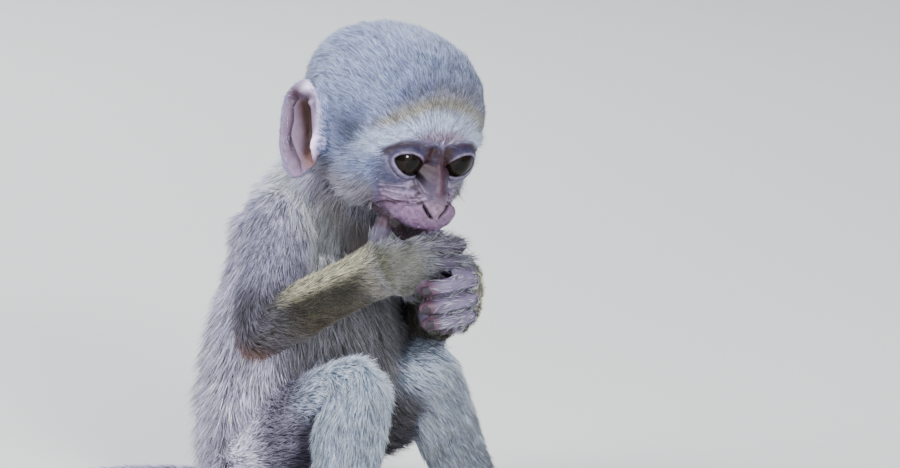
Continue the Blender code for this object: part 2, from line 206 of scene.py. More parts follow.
# ---------------------------------------------------------------- places


def middle(node):
    low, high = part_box(node)
    return (low + high) / 2


def head_axes():
    """The head's middle, and its axes to its left, forward and up, read from the two eyes."""
    right, left = (middle(name) for name in EYE_NODES)
    out = (left - right).normalized()
    level = out.cross(UP).normalized()
    up = out.cross(-level)
    sine = math.sin(sizes().nod) / up.z
    ahead = level * math.sqrt(1 - sine * sine) - up * sine
    up = out.cross(-ahead)
    start = (left + right) / 2 - ahead * EYE_AHEAD * MM + up * EYE_BELOW * MM
    return start, np.array([out, ahead, up])


def in_head(points):
    """Points as millimetres out, forward and up in the head's frame."""
    start, axes = head_axes()
    return (points - np.array(start)) @ axes.T / MM


def from_head(points):
    start, axes = head_axes()
    return np.array(start) + (np.asarray(points, float) * MM) @ axes


def surface(node):
    """A tree of a node's faces, which finds the nearest place on them."""
    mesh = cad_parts[node].data
    return BVHTree.FromPolygons([v.co for v in mesh.vertices], [p.vertices for p in mesh.polygons])


def meeting(first, second, near=1.5 * MM):
    """Middle of the face where two neighbouring nodes meet."""
    tree = surface(second)
    found = [v.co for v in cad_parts[first].data.vertices if tree.find_nearest(v.co, near)[0]]
    return sum(found, Vector()) / len(found)


def far_end(node, start):
    """The point of a node that is farthest from a place."""
    return max((v.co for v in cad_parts[node].data.vertices), key=lambda co: (co - start).length).copy()


def tail_line():
    """Middle line of the tail: back from the rump, down to the floor, then round the right side."""
    stride, resting, total = 7.5, 5.8, 30  # step along the tail and its height on the floor, and steps
    place, points = Vector((0.0, 20.0, 16.5)), []
    for i in range(total + 1):
        share = i / total
        points.append(place * MM)
        turn = math.radians(180 - 190 * min(1.0, max(0.0, share - 0.06) / 0.75) ** 0.9)
        drop = math.radians(-30 if place.z > resting + 2 else 0)
        way = (-math.sin(turn) * math.cos(drop), -math.cos(turn) * math.cos(drop), math.sin(drop))
        place = place + Vector(way) * stride
        place.z = max(place.z, resting - 2.6 * share)
    return points


DIGITS = {  # middle lines of the fingers from knuckle to tip, in millimetres, with the thumb last
    "hand_right": (
        ((-20, -72, 107.6), (-12, -77, 108.2), (-6, -77, 106.2), (-4, -72, 104)),
        ((-20, -72, 102), (-10, -78, 101.8), (-2, -77, 99.5), (0, -73, 98)),
        ((-22, -70, 98), (-14, -70, 97), (-8, -65, 96)),
        ((-24, -67, 95), (-16, -65, 93.5), (-10, -60, 92.5)),
        ((-32, -60, 104), (-31.5, -60, 110), (-29.5, -61, 116.5)),
    ),
    "hand_left": (
        ((2, -77, 94.5), (-8, -83, 94.8), (-17, -80, 94), (-23, -74.5, 92.5)),
        ((3, -77, 88.5), (-8, -83, 88.2), (-17, -80.5, 87.2), (-24, -75, 86.3)),
        ((3, -76, 82.5), (-7, -82, 82), (-16, -79.5, 81.2), (-22, -75, 80.5)),
        ((3, -73, 78.5), (-5, -77, 77.5), (-13, -76, 77.5)),
        ((3, -67, 86), (-2, -68, 92.5), (-7, -68, 94.5)),
    ),
}
TOES_OUT = {"foot_right": (-26, -44, -56), "foot_left": (26, 39, -53)}  # turn, then the ankle's place


def digit_lines(node):
    """Middle lines of a hand's or foot's digits, as arrays in metres."""
    if node in DIGITS:
        return [np.array(line, float) * MM for line in DIGITS[node]]
    turn, x, y = TOES_OUT[node]
    sign = 1 if node.endswith("left") else -1
    ahead = np.array([math.sin(math.radians(turn)), -math.cos(math.radians(turn)), 0.0])
    inward = np.cross(ahead, [0.0, 0.0, 1.0]) * -sign
    ankle = np.array([x, y, 0.0])
    lines = []
    for i in range(4):
        spread = i - 1.4
        root = ankle + ahead * (26 - 1.2 * abs(i - 1)) - inward * 5.4 * spread
        way = unit(ahead - inward * 0.08 * spread)
        knuckle = root + way * 11
        tip = knuckle + way * (11 - abs(i - 1))
        lines.append([root + [0, 0, 4.2], knuckle + [0, 0, 4.6], tip + [0, 0, 3.4]])
    big = ankle + ahead * 12 + inward * 4
    way = ahead * 0.70 + inward * 0.71
    lines.append([big + [0, 0, 5.0], big + way * 11 + [0, 0, 4.4], big + way * 22 + [0, 0, 3.8]])
    return [np.array(line) * MM for line in lines]


def on_digits(points, node):
    """How far along its digit each point is, how far from it, and how much farther the next digit is."""
    found = [to_line(points, line) for line in digit_lines(node)]
    gaps, along = np.array([gap for gap, _ in found]) / MM, np.array([share for _, share in found])
    order = np.argsort(gaps, axis=0)
    each = np.arange(len(points))
    near = gaps[order[0], each]
    return along[order[0], each], near, gaps[order[1], each] - near


def digit_ways(points, node):
    """The way from knuckle to tip of the digit that each point is nearest to."""
    lines = digit_lines(node)
    nearest = np.argmin([to_line(points, line)[0] for line in lines], axis=0)
    return unit(np.array([line[-1] - line[0] for line in lines]))[nearest]


def past_knuckles(points, node):
    """0 on the back of a hand or foot, 1 on its digits, by the distance from the wrist or ankle."""
    if node == "hand_left":  # its fingers curl in towards the other hand
        return step(-4, -9, points[:, 0] / MM)
    low, high = (13, 20) if node in DIGITS else (22, 29)
    start = np.array(limb_lines()[node][0])
    return np.maximum(step(low, high, np.linalg.norm(points - start, axis=1) / MM), on_thumb(points, node))


def on_thumb(points, node):
    """1 on the bare outer half of a thumb or big toe."""
    found = [to_line(points, line) for line in digit_lines(node)]
    own = np.argmin([gap for gap, _ in found], axis=0) == len(found) - 1
    return own * step(0.25, 0.55, found[-1][1])


def limb_lines():
    """For each node of a limb, the line that its hair follows: from its near end to its far end."""
    lines = {}
    for side in SIDES:
        for limb in (("upper_arm_", "forearm_", "hand_"), ("thigh_", "shin_", "foot_")):
            upper, lower, end = (name + side for name in limb)
            root, bend, last = meeting(upper, "trunk"), meeting(upper, lower), meeting(lower, end)
            lines[upper] = (root, bend)
            lines[lower] = (bend, last)
            lines[end] = (last, far_end(end, last))
    return lines


# ---------------------------------------------------------------- arrays


def step(low, high, values):
    """0 below low, 1 above high, and a smooth change between."""
    t = np.clip((values - low) / (high - low), 0, 1)
    return t * t * (3 - 2 * t)


def bump(values, width):
    return np.exp(-(values / width) ** 2)


def unit(vectors):
    return vectors / np.maximum(np.linalg.norm(vectors, axis=-1, keepdims=True), 1e-12)


def mix(first, second, share):
    share = np.asarray(share)[..., None]
    return first * (1 - share) + second * share


def drift(points, size, seed):
    """A smooth wandering value from -1 to 1 whose waves are about this many metres long."""
    rng = np.random.default_rng(seed)
    total = np.zeros(len(points))
    for _ in range(7):
        wave = unit(rng.normal(size=3)) * 2 * math.pi / size * rng.uniform(0.7, 1.5)
        total += np.sin(points @ wave + rng.uniform(0, 2 * math.pi))
    return total / 3.2


def to_line(points, line):
    """Distance of points from a line of two or more corners, and how far along it each is nearest."""
    best, along, walked = np.full(len(points), 1e9), np.zeros(len(points)), 0.0
    for start, end in zip(line, line[1:]):
        start, way = np.asarray(start, float), np.asarray(end, float) - np.asarray(start, float)
        span = np.linalg.norm(way)
        t = np.clip((points - start) @ way / (span * span), 0, 1)
        gap = np.linalg.norm(points - start - t[:, None] * way, axis=1)
        closer = gap < best
        best = np.where(closer, gap, best)
        along = np.where(closer, walked + t * span, along)
        walked += span
    return best, along / walked


class Surface:
    """A mesh as arrays: points, triangles, edges and normals."""

    def __init__(self, mesh):
        mesh.calc_loop_triangles()
        self.points = np.zeros(len(mesh.vertices) * 3, np.float32)
        mesh.vertices.foreach_get("co", self.points)
        self.points = self.points.reshape(-1, 3).astype(float)
        self.edges = np.zeros(len(mesh.edges) * 2, np.int32)
        mesh.edges.foreach_get("vertices", self.edges)
        self.edges = self.edges.reshape(-1, 2)
        self.triangles = np.zeros(len(mesh.loop_triangles) * 3, np.int32)
        mesh.loop_triangles.foreach_get("vertices", self.triangles)
        self.triangles = self.triangles.reshape(-1, 3)
        both = self.edges.ravel()
        self.degree = np.maximum(np.bincount(both, minlength=len(self.points)), 1)[:, None]
        self.measure()

    def measure(self):
        a, b, c = (self.points[self.triangles[:, i]] for i in range(3))
        cross = np.cross(b - a, c - a)
        self.areas = np.linalg.norm(cross, axis=1) / 2
        total = np.zeros_like(self.points)
        for corner in range(3):
            for axis in range(3):
                total[:, axis] += np.bincount(
                    self.triangles[:, corner], cross[:, axis], minlength=len(self.points)
                )
        self.normals = unit(total)

    def averaged(self, values):
        """The mean of each point's neighbours."""
        flat = values.reshape(len(values), -1)
        total = np.empty_like(flat, dtype=float)
        first, second = self.edges[:, 0], self.edges[:, 1]
        for i in range(flat.shape[1]):
            total[:, i] = np.bincount(first, flat[second, i], minlength=len(flat))
            total[:, i] += np.bincount(second, flat[first, i], minlength=len(flat))
        return (total / self.degree).reshape(values.shape)

    def spread(self, values, rounds):
        """Values smoothed over the surface."""
        for _ in range(rounds):
            values = values * 0.4 + self.averaged(values) * 0.6
        return values

    def relax(self, rounds, share):
        """Smooths the shape. Every second step grows it again, so that it doesn't shrink."""
        for _ in range(rounds):
            for pull in (0.55, -0.57):
                self.points += (self.averaged(self.points) - self.points) * (share * pull)[:, None]
        self.measure()


def write_points(mesh, points):
    mesh.vertices.foreach_set("co", points.astype(np.float32).ravel())
    mesh.update()


def write_colours(mesh, name, colours):
    """A colour for each point, kept as an attribute that the material reads."""
    layer = mesh.color_attributes.new(name, "FLOAT_COLOR", "POINT")
    full = np.ones((len(colours), 4), np.float32)
    full[:, :3] = np.clip(colours, 0, 1)
    layer.data.foreach_set("color", full.ravel())
    mesh.color_attributes.active_color = layer


def linked(name, data):
    """A new object of the scene."""
    piece = bpy.data.objects.new(name, data)
    bpy.context.scene.collection.objects.link(piece)
    return piece


def mesh_from(bm, name):
    """The mesh that a bmesh holds. The bmesh itself goes."""
    mesh = bpy.data.meshes.new(name)
    bm.to_mesh(mesh)
    bm.free()
    return mesh


def show(name, mesh, material, slot, *nodes):
    """Links a finished piece, which rides on the model and stands for the given nodes."""
    piece = linked(name, mesh)
    piece.data.materials.clear()
    piece.data.materials.append(material)
    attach(piece, "root")
    if nodes:
        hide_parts(*nodes)


# ---------------------------------------------------------------- materials


def add(material, kind, settings=None, **links):
    """A shader node with its settings, and its sockets linked or set by name or number."""
    node = material.node_tree.nodes.new("ShaderNode" + kind)
    for key, value in (settings or {}).items():
        setattr(node, key, value)
    for key, value in links.items():
        socket = node.inputs[int(key[1:]) if key[0] == "i" and key[1:].isdigit() else key.replace("_", " ")]
        if isinstance(value, bpy.types.NodeSocket):
            material.node_tree.links.new(value, socket)
        else:
            socket.default_value = value
    return node


def plain(name, **settings):
    """A new material and its shader, with the shader's sockets set by name."""
    material = bpy.data.materials.new(name)
    material.use_nodes = True
    shader = material.node_tree.nodes["Principled BSDF"]
    for key, value in settings.items():
        shader.inputs[key.replace("_", " ")].default_value = value
    return material, shader


def link(material, output, socket):
    material.node_tree.links.new(output, socket)


def speckled(material, source, grain, low, high):
    """The source colour made lighter and darker by a fine grain of this many metres."""
    place = add(material, "TexCoord")
    noise = add(material, "TexNoise", Vector=place.outputs["Object"], Scale=1 / grain, Detail=3.0)
    span = add(material, "MapRange", i0=noise.outputs["Fac"], i1=0.3, i2=0.7, i3=low, i4=high)
    scaled = add(material, "VectorMath", {"operation": "SCALE"}, i0=source, Scale=span.outputs[0])
    return scaled.outputs[0]


def marked(material, shader, grain, low, high):
    """Colours the shader by the colours kept on the mesh, pattern and painted light and shade alike, with a
    fine grain in them.
    """
    mark = add(material, "Attribute", {"attribute_name": "markings"})
    shade = speckled(material, mark.outputs["Color"], grain, low, high)
    link(material, shade, shader.inputs["Base Color"])


def coat_finish():
    """Fine hair: each strand is matt with a soft silvery glow where it turns away from the light."""
    material, shader = plain(
        "vervet hair, fine and dry",
        Roughness=0.62, Specular_IOR_Level=0.25, Sheen_Weight=0.18, Sheen_Roughness=0.45,
    )
    marked(material, shader, 0.7 * MM, 0.86, 1.14)
    return material


def skin_finish():
    """Living skin: mottled, finely creased, and dully shiny where it is bare."""
    material, shader = plain("bare skin, creased and slightly oily", Roughness=0.5, Specular_IOR_Level=0.28)
    marked(material, shader, 1.6 * MM, 0.88, 1.12)
    place = add(material, "TexCoord").outputs["Object"]
    pores = add(material, "TexVoronoi", Vector=place, Scale=1 / (0.55 * MM)).outputs["Distance"]
    folds = add(material, "TexNoise", Vector=place, Scale=1 / (1.1 * MM), Detail=6.0).outputs["Fac"]
    height = add(material, "Math", {"operation": "ADD"}, i0=pores, i1=folds)
    relief = add(material, "Bump", Strength=0.35, Distance=0.12 * MM, Height=height.outputs[0])
    link(material, relief.outputs[0], shader.inputs["Normal"])
    return material


# ---------------------------------------------------------------- coat and skin pattern, with painted light and shade


def lid_outline():
    """The edge of an open eye, as millimetres over the eyeball out and up from its front."""
    half, above, below, slant = 6.9, 4.6, 3.3, math.radians(19)
    shift_out, shift_up, total = 0.65, -0.95, 96
    ring = []
    for i in range(total):
        a = 2 * math.pi * i / total
        u, w = half * math.cos(a), abs(math.sin(a)) ** 1.12
        w *= above if math.sin(a) > 0 else -below * (1 - 0.16 * math.cos(a))
        out, up = u * math.cos(slant) - w * math.sin(slant), u * math.sin(slant) + w * math.cos(slant)
        ring.append((out + shift_out, up + shift_up))
    return np.array(ring)


def lid_gap(spots):
    """Distance of frontal spots from the edge of the open eye: below 0 inside it."""
    ring = lid_outline()
    gap = np.min(np.linalg.norm(spots[:, None, :] - ring[None], axis=2), axis=1)
    inside = np.zeros(len(spots), bool)
    for (x0, y0), (x1, y1) in zip(ring, np.roll(ring, -1, axis=0)):
        crosses = (y0 > spots[:, 1]) != (y1 > spots[:, 1])
        at = (x1 - x0) * (spots[:, 1] - y0) / (y1 - y0 + 1e-12) + x0
        inside ^= crosses & (spots[:, 0] < at)
    return np.where(inside, -gap, gap)


def on_ball(spots):
    """Millimetres over the eyeball, out and up, of the way to each spot from the eyeball's middle."""
    across = np.hypot(spots[:, 0], spots[:, 2])
    angle = np.arctan2(across, spots[:, 1])
    return spots[:, [0, 2]] * (angle * sizes().eye_radius / MM / np.maximum(across, 1e-6))[:, None]


def eye_spots(head, sign):
    """Where head points lie as seen from the front of one eye: outward, forward and up of its middle."""
    return np.stack([head[:, 0] * sign - EYE_OUT, head[:, 1] - EYE_AHEAD, head[:, 2] + EYE_BELOW], axis=1)


def brow_edge(x, height):
    """Height of the brow's lower edge at each distance from the middle of the face."""
    return height + 1.5 * bump(x - 11, 5.5) - 0.55 * np.clip(x - 15.5, 0, 9)


def bare_face(head):
    """1 on the bare face, 0 in the fur, with a soft edge. Head points are in millimetres."""
    x, f, z = np.abs(head[:, 0]), head[:, 1], head[:, 2]
    top = step(1.9, -1.9, z - brow_edge(x, 0.6))
    side = step(1.2, -1.2, x - (21.0 - 0.034 * np.clip(-7 - z, 0, 30) ** 1.75))
    front = step(13.5, 16.5, f + 0.3 * np.clip(-14 - z, 0, 20))
    return top * side * front


def pair(part, name):
    """The shares of a right and a left node together."""
    return part[name + "_right"] + part[name + "_left"]


def whole_tail(part):
    return part["tail_base"] + part["tail_middle"] + part["tail_tip"]


# line of a painted highlight down the left shoulder: light on the fur, painted as a pale streak
SHOULDER_LIT_STREAK = ((19, -10, 126), (19, -22, 113), (16, -23, 96))  # down the left shoulder, in millimetres


def markings(points, part, tip):
    """The coat's or skin's colour at each point, real pattern and painted light and shade: at the hair's
    root where tip is 0, its end at 1.
    """
    head = in_head(points)
    x, f, z = np.abs(head[:, 0]), head[:, 1], head[:, 2]
    shade = np.zeros((len(points), 3))

    def blend(name, share, pale=None, pale_share=0.0):
        nonlocal shade
        both = tint(name) if pale is None else mix(tint(name), tint(pale), tip * pale_share)
        shade = mix(shade, both, np.clip(share, 0, 1))

    y, high = points[:, 1] / MM, points[:, 2] / MM
    wide = np.abs(points[:, 0])
    blend("back", np.ones(len(points)), "back_tip", 0.7)
    torso = part["trunk"] + part["neck"]
    blend("flank", torso * np.maximum(step(108, 72, high), 0.5 * step(-16, 0, y)), "back_tip", 0.6)
    front = step(-6, -16, y) * part["trunk"]
    # painted shade: chest and belly fur darkened as if in the shadow of the body above
    blend("belly", front * step(98, 88, high), "arm", 0.5)
    throat = part["neck"] * step(-24, -31, y) + front * step(88, 98, high) * step(-24, -30, y)
    blend("throat", throat, "cheek", 0.8)
    on_head = part["head"] + part["ear_right"] + part["ear_left"]
    blend("crown", on_head, "crown_tip", 0.65)
    low_cheek = part["head"] * step(-13, -22, z) * step(30, 16, f)
    blend("cheek", low_cheek * 0.9, "back_tip", 0.3)
    # painted shade in the temple hollow
    blend("temple_painted_shade", part["head"] * bump(f - 12, 9) * bump(z + 2, 9) * step(18, 22, x), "crown", 0.2)
    arch = z - (4.2 - 0.022 * x * x)
    dark = bump(arch - 16.5, 3.8) * step(0, 8, f) * step(24, 15, x)
    blend("crown_fleck", part["head"] * dark * 0.9, "crown", 0.45)
    gold = bump(arch - 10.6, 3.6) * step(6, 14, f) * step(27, 19, x)
    blend("brow_gold", part["head"] * gold * 0.85, "brow", 0.15)
    white = bump(arch - 4.0, 4.3) * step(10, 17, f)
    beside = bump(z + 1.5 - 0.1 * (x - 20), 3.8) * step(15, 20, x) * step(16, 21, f)
    blend("brow", part["head"] * np.clip(white * 1.1 + beside * 0.8, 0, 1))
    pink = bump(z - 3.6, 2.8) * step(14, 6, x) * step(16, 21, f)
    blend("brow_skin", part["head"] * pink * 0.9, "brow", 0.4)
    arm = pair(part, "upper_arm")
    blend("arm", arm, "back_tip", 0.55)
    # painted highlight along the shoulder streak
    streak = [np.array(at) * MM for at in SHOULDER_LIT_STREAK]
    near_lit_streak = to_line(np.stack([wide, points[:, 1], points[:, 2]], axis=1), streak)[0] / MM
    blend("painted_light_streak", (torso + 0.9 * arm) * bump(near_lit_streak, 8) * 1.5, "painted_light_streak", 1.0)
    blend("forearm", pair(part, "forearm"), "forearm_tip", 0.8)
    limbs = limb_lines()
    for side in SIDES:
        line = [np.array(v) for v in limbs["forearm_" + side]]
        way = unit(line[1] - line[0])
        level = unit(np.array([0, 0, 1.0]) - way * way[2])
        _, along = to_line(points, line)
        height = (points - line[0]) @ level / MM
        share = part["forearm_" + side]
        # painted light: lighter along the forearm's top, darker ochre on its underside
        blend("forearm_top_and_highlight", share * step(1.5, 6.5, height) * step(0.1, 0.4, along), "forearm_straw", 0.9)
        blend("forearm_top_and_highlight", share * step(0.80, 1.0, along) * 0.7, "forearm_straw", 0.5)
        blend("ochre_and_under_shade", share * step(-1, -6, height) * step(0.95, 0.7, along), "forearm_straw", 0.1)
        gap = np.linalg.norm(points - line[0], axis=1) / MM
        # darker elbow fur, partly painted shade
        blend("elbow_dark_and_shade", (share + part["upper_arm_" + side]) * step(22, 10, gap) * 0.85, "arm", 0.45)
        low = bump(np.linalg.norm(points - line[0] - np.array([0, 4, -8]) * MM, axis=1) / MM, 6.0)
        blend("elbow", (share + part["upper_arm_" + side]) * low * 0.9)
    leg = pair(part, "thigh")
    blend("thigh", leg, "arm", 0.8)
    blend("flank", leg * step(-12, 0, y), "back_tip", 0.6)
    knee = leg * step(36, 54, high) * step(-14, -36, y)
    blend("knee", np.clip(pair(part, "shin") + knee, 0, 1), "knee_tip", 0.85)
    # painted shade between the thighs and under the belly
    between = (leg + part["trunk"]) * step(56, 42, high) * step(26, 14, wide / MM) * step(2, -8, y)
    blend("under", between, "thigh", 0.6)
    blend("back", whole_tail(part), "back_tip", 0.4)
    blend("tail_tip", part["tail_tip"] * 0.75)
    # each hand's fur lightened or darkened by its factors, painted light
    for node, light in PAWS.items():
        index = np.nonzero(part[node] > 0.01)[0]
        tip_end = step(0.84, 0.97, on_digits(points[index], node)[0])
        back_of = mix(tint("hand_fur"), tint("hand_straw"), tip[index] * 0.85) * light["fur"]
        digit = mix(tint("paw"), tint("paw_hair"), tip[index] * 0.95) * light["digits"]
        fur = mix(back_of, digit, past_knuckles(points[index], node))
        fur = mix(fur, tint("paw_tip"), tip_end * 0.8)
        shade[index] = mix(shade[index], fur, part[node][index])
    return shade


EAR_SCALE = (1.0, 11.2, 19.6)  # millimetres out, half an ear's depth and half its height
EAR_NOTCH = ((0.12, -0.50), (0.36, -0.62))  # line of the ear's lower hollow, forward and up


def ear_place(node):
    """Middle of an ear and its axes: out of its bowl, to its front, and up."""
    points = np.array([v.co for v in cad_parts[node].data.vertices])
    _, axes = np.linalg.eigh(np.cov((points - points.mean(0)).T))
    outward, forward, up = axes[:, 0], axes[:, 1], axes[:, 2]
    up = up * np.sign(up[2])
    forward = forward * np.sign(-forward[1])
    outward = outward * np.sign(outward[0] * (-1 if node.endswith("right") else 1))
    return points.mean(0), np.array([outward, forward, up])


def in_ear(points, node):
    """Points as shares of the ear's half depth and half height: out in mm, forward and up."""
    centre, axes = ear_place(node)
    return (points - centre) @ axes.T / MM / np.array(EAR_SCALE)


# ---------------------------------------------------------------- skin


SKIN = {}  # the finished skin's arrays, which the coat grows from
UNDER_COAT = 0.62  # brightness of the skin and of the hair's roots, as a share of the coat's


def flesh_mesh():
    """All the flesh, grown a little so that neighbours join, as one mesh of even squares."""
    clear = 2.2 * MM  # how far the right hand stays off the mouth
    bm = bmesh.new()
    jaws = surface("head")
    for name in FLESH + EYE_NODES:
        part = bmesh.new()
        part.from_mesh(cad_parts[name].data)
        bmesh.ops.remove_doubles(part, verts=part.verts, dist=0.01 * MM)
        if name == "hand_right":
            bmesh.ops.subdivide_edges(part, edges=list(part.edges), cuts=2, use_grid_fill=True)
        part.normal_update()
        for vertex in part.verts:
            vertex.co += vertex.normal * sizes().weld
            if name == "hand_right":
                place, way, _, gap = jaws.find_nearest(vertex.co)
                away = vertex.co - place
                if away.dot(way) < 0:
                    away, gap = way, -gap
                vertex.co += away.normalized() * max(0.0, clear - gap)
        mesh = mesh_from(part, name)
        bm.from_mesh(mesh)
        bpy.data.meshes.remove(mesh)
    return even(mesh_from(bm, "flesh"), sizes().skin_grid)


def even(mesh, spacing):
    """The mesh remade by Remesh as one closed surface."""
    piece = linked("even", mesh)
    remesh = piece.modifiers.new("Even", "REMESH")
    remesh.mode = "VOXEL"
    remesh.voxel_size = spacing
    return applied(piece)


def applied(piece):
    """The piece's mesh with its modifiers in it. The piece itself goes."""
    seen = piece.evaluated_get(bpy.context.evaluated_depsgraph_get())
    made = bpy.data.meshes.new_from_object(seen)
    old = piece.data
    bpy.data.objects.remove(piece)
    bpy.data.meshes.remove(old)
    return made


def nearest_parts(points):
    """For each point, the CAD node that it belongs to, as one array of 0 and 1 for each node."""
    corners, faces, owners = [], [], []
    for name in FLESH:
        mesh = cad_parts[name].data
        start = len(corners)
        corners += [v.co for v in mesh.vertices]
        faces += [[start + i for i in p.vertices] for p in mesh.polygons]
        owners += [name] * len(mesh.polygons)
    tree = BVHTree.FromPolygons(corners, faces)
    found = np.array([owners[tree.find_nearest(Vector(p))[2]] for p in points])
    return {name: (found == name).astype(float) for name in FLESH}


def thinned(mesh, keep, target):
    """The mesh with fewer triangles outside the points to keep."""
    piece = linked("thinned", mesh)
    group = piece.vertex_groups.new(name="plain")
    group.add([int(i) for i in np.nonzero(~keep)[0]], 1.0, "REPLACE")
    thin = piece.modifiers.new("Thin", "DECIMATE")
    thin.vertex_group = group.name
    thin.ratio = target
    return applied(piece)


def refined(mesh, chosen):
    """The mesh with each chosen face's edges cut in two."""
    bm = bmesh.new()
    bm.from_mesh(mesh)
    bm.faces.ensure_lookup_table()
    edges = {e for i in chosen for e in bm.faces[i].edges}
    bmesh.ops.subdivide_edges(bm, edges=list(edges), cuts=1, use_grid_fill=True, smooth=0.0)
    bmesh.ops.triangulate(bm, faces=[f for f in bm.faces if len(f.verts) > 4])
    bm.to_mesh(mesh)
    bm.free()
    return mesh


def face_centres(mesh):
    centres = np.zeros(len(mesh.polygons) * 3, np.float32)
    mesh.polygons.foreach_get("center", centres)
    return centres.reshape(-1, 3).astype(float)


COAT = {  # by kind of node, the skin's depth inside the model and the hair's length and width in
    # millimetres, then the hair's lift in degrees and how thickly it grows
    "trunk": (4.0, 11.5, 0.52, 27, 1.0),
    "neck": (0.8, 8.0, 0.48, 24, 1.0),
    "head": (2.0, 5.4, 0.40, 20, 1.0),
    "upper_arm": (2.8, 8.0, 0.48, 22, 1.0),
    "forearm": (2.0, 6.0, 0.42, 18, 1.0),
    "thigh": (3.2, 7.5, 0.48, 20, 1.0),
    "shin": (2.3, 7.0, 0.42, 17, 1.0),
    "tail": (1.6, 5.0, 0.42, 18, 1.0),
    "hand": (0.35, 2.8, 0.36, 15, 1.0),
    "foot": (0.35, 2.6, 0.30, 13, 0.7),
    "ear": (0.2, 2.2, 0.22, 28, 0.12),
}


def coat_of(node):
    """What the table of the coat says for a node."""
    return next(values for kind, values in COAT.items() if node.startswith(kind))


def coat_depth(points, part):
    """How far the skin lies inside the model's outside, in metres."""
    depth = np.full(len(points), 0.4)
    for name, share in part.items():
        depth = depth * (1 - share) + coat_of(name)[0] * share
    belly = part["trunk"] * step(-2, -16, points[:, 1] / MM)
    depth = depth - 2.0 * belly
    bare = bare_face(in_head(points)) * part["head"]
    return (depth * (1 - bare) + 0.1 * bare) * MM


NOSTRIL = ((1.5, -24.4), (2.8, -23.2), (4.1, -21.8), (5.2, -20.2))  # lines on the face: out and up
MOUTH = ((0, -31.0), (5, -31.0), (10, -30.0), (14.5, -27.4))
CHEEK_FOLD = ((6.0, -18.9), (9.2, -19.2), (12.0, -21.7), (13.6, -26.0))


def eye_bag_lines():
    """The creases below an eye, out and up on the face, and how strong each is from 0 to 1."""
    lines = []
    for k, strength in enumerate((0.4, 0.8, 0.35, 1.0, 0.45, 0.9)):
        start, sway = -13.4 - 1.05 * k, 0.35 * math.sin(2.3 * k)
        outer = (17.4 - 0.5 * k, start - 3.3 - sway)
        lines.append((((4.6, start), (8.2, start - 1.7 + sway), (12.6, start - 2.9), outer), strength))
    return lines


def wrap_lids(head, sign):
    """Wraps the skin round one eyeball. Gives the points moved, their gaps, and which lie above."""
    spots = eye_spots(head, sign)
    reach = np.linalg.norm(spots, axis=1)
    index = np.nonzero((reach < 14.5) & (spots[:, 1] > 0.3) & (head[:, 0] * sign > 0.8))[0]
    spots, now = spots[index], reach[index]
    ball = sizes().eye_radius / MM
    flat = on_ball(spots)
    gap = lid_gap(flat)
    above = step(-1.6, 0.6, flat[:, 1] - 0.2 * flat[:, 0])
    rim = ball - 1.0 + 1.45 * step(-0.75, 0.35, gap) + 0.55 * step(0.3, 2.6, gap)
    rim += 0.35 * bump(gap - 2.0, 1.2) * above
    nose = step(-2.0, -5.5, flat[:, 0])
    hold = step(1, 0, (gap - 2.4 + 1.3 * nose) / (3.4 - 1.9 * nose - 0.9 * above * (1 - nose)))
    hold = np.where(gap < -0.2, 1, hold)
    settled = now + (rim - now) * hold
    moved = spots / now[:, None] * settled[:, None]
    head[index] += (moved - spots) * np.array([sign, 1, 1])
    return index, gap, above


def lid_creases(gap, above):
    """Depth of the folds that run round an eye: one deep one above, three fine ones below."""
    over = 0.75 * bump(gap - 3.2, 1.0) + 0.14 * bump(gap - 1.3, 0.25) + 0.12 * bump(gap - 2.2, 0.25)
    under = 0.16 * bump(gap - 1.05, 0.22) + 0.30 * bump(gap - 2.1, 0.3) + 0.30 * bump(gap - 3.4, 0.36)
    return over * above + under * (1 - above)


def sculpt_face(skin):
    """Nose, nostrils, lips, brow fold and the fine creases under the eyes."""
    head = in_head(skin.points)
    normals = skin.normals @ head_axes()[1].T
    x, f, z = np.abs(head[:, 0]), head[:, 1], head[:, 2]
    front = step(13, 18, f)
    flat = np.stack([x, z], axis=1)
    lift = np.zeros(len(head))

    def groove(line, depth, width, fade=0.15):
        gap, along = to_line(flat, line)
        return -depth * bump(gap, width) * step(0, fade, along) * step(1, 1 - fade, along) * front

    def ridge(line, height, width):
        return height * bump(to_line(flat, line)[0], width) * front

    lift += ridge([(6.0, -22.0), (6.6, -18.5)], 0.9, 1.7)
    lift += 0.9 * bump(x, 2.6) * bump(z + 20.5, 2.6) * front
    lift += groove(NOSTRIL, 1.9, 0.5, 0.1)
    lift += groove(MOUTH, 1.8, 0.9, 0.06)
    lift += groove(CHEEK_FOLD, 1.6, 0.7, 0.1)
    lift += ridge([(out, up + 1.6) for out, up in CHEEK_FOLD], 0.5, 0.9)
    lift += groove([(8.6, -19.6), (8.4, -22.5), (6.8, -25.0)], 0.45, 0.6)
    lift += groove([(3.6, -5), (4.4, -9), (4.9, -13), (6.6, -17.5)], 0.6, 1.5)
    lift += 0.6 * bump(x, 1.7) * bump(z + 9, 7) * front
    wander = 1 + 0.5 * drift(head, 7.0, 5)
    for line, strength in eye_bag_lines():
        lift += groove(line, 0.55 * strength, 0.36) * wander
    for k in range(10):
        place = 1.2 + 1.05 * k
        lift += groove([(place, -26.8), (place * 1.02, -30.2)], 0.2, 0.24, 0.3)
    for k in range(5):
        lift += groove([(0.7 + 0.3 * k, -3.5 - 2.1 * k), (3.2, -4.2 - 2.1 * k)], 0.12, 0.22, 0.3)
    lift += ridge([(2.4, 1.6), (7, 3.9), (12, 4.1), (17, 2.2), (19.8, -2)], 0.6, 1.5)
    lift += groove([(2.4, 0.5), (3.4, -4.5)], 0.9, 1.2)
    head += normals * lift[:, None]
    chin = bump(x, 7.5) * step(14, 22, f) * step(33.0, 29.5, f) * step(-27.5, -31.0, z)
    head[:, 2] -= 4.2 * chin
    skin.points = from_head(head)
    skin.measure()


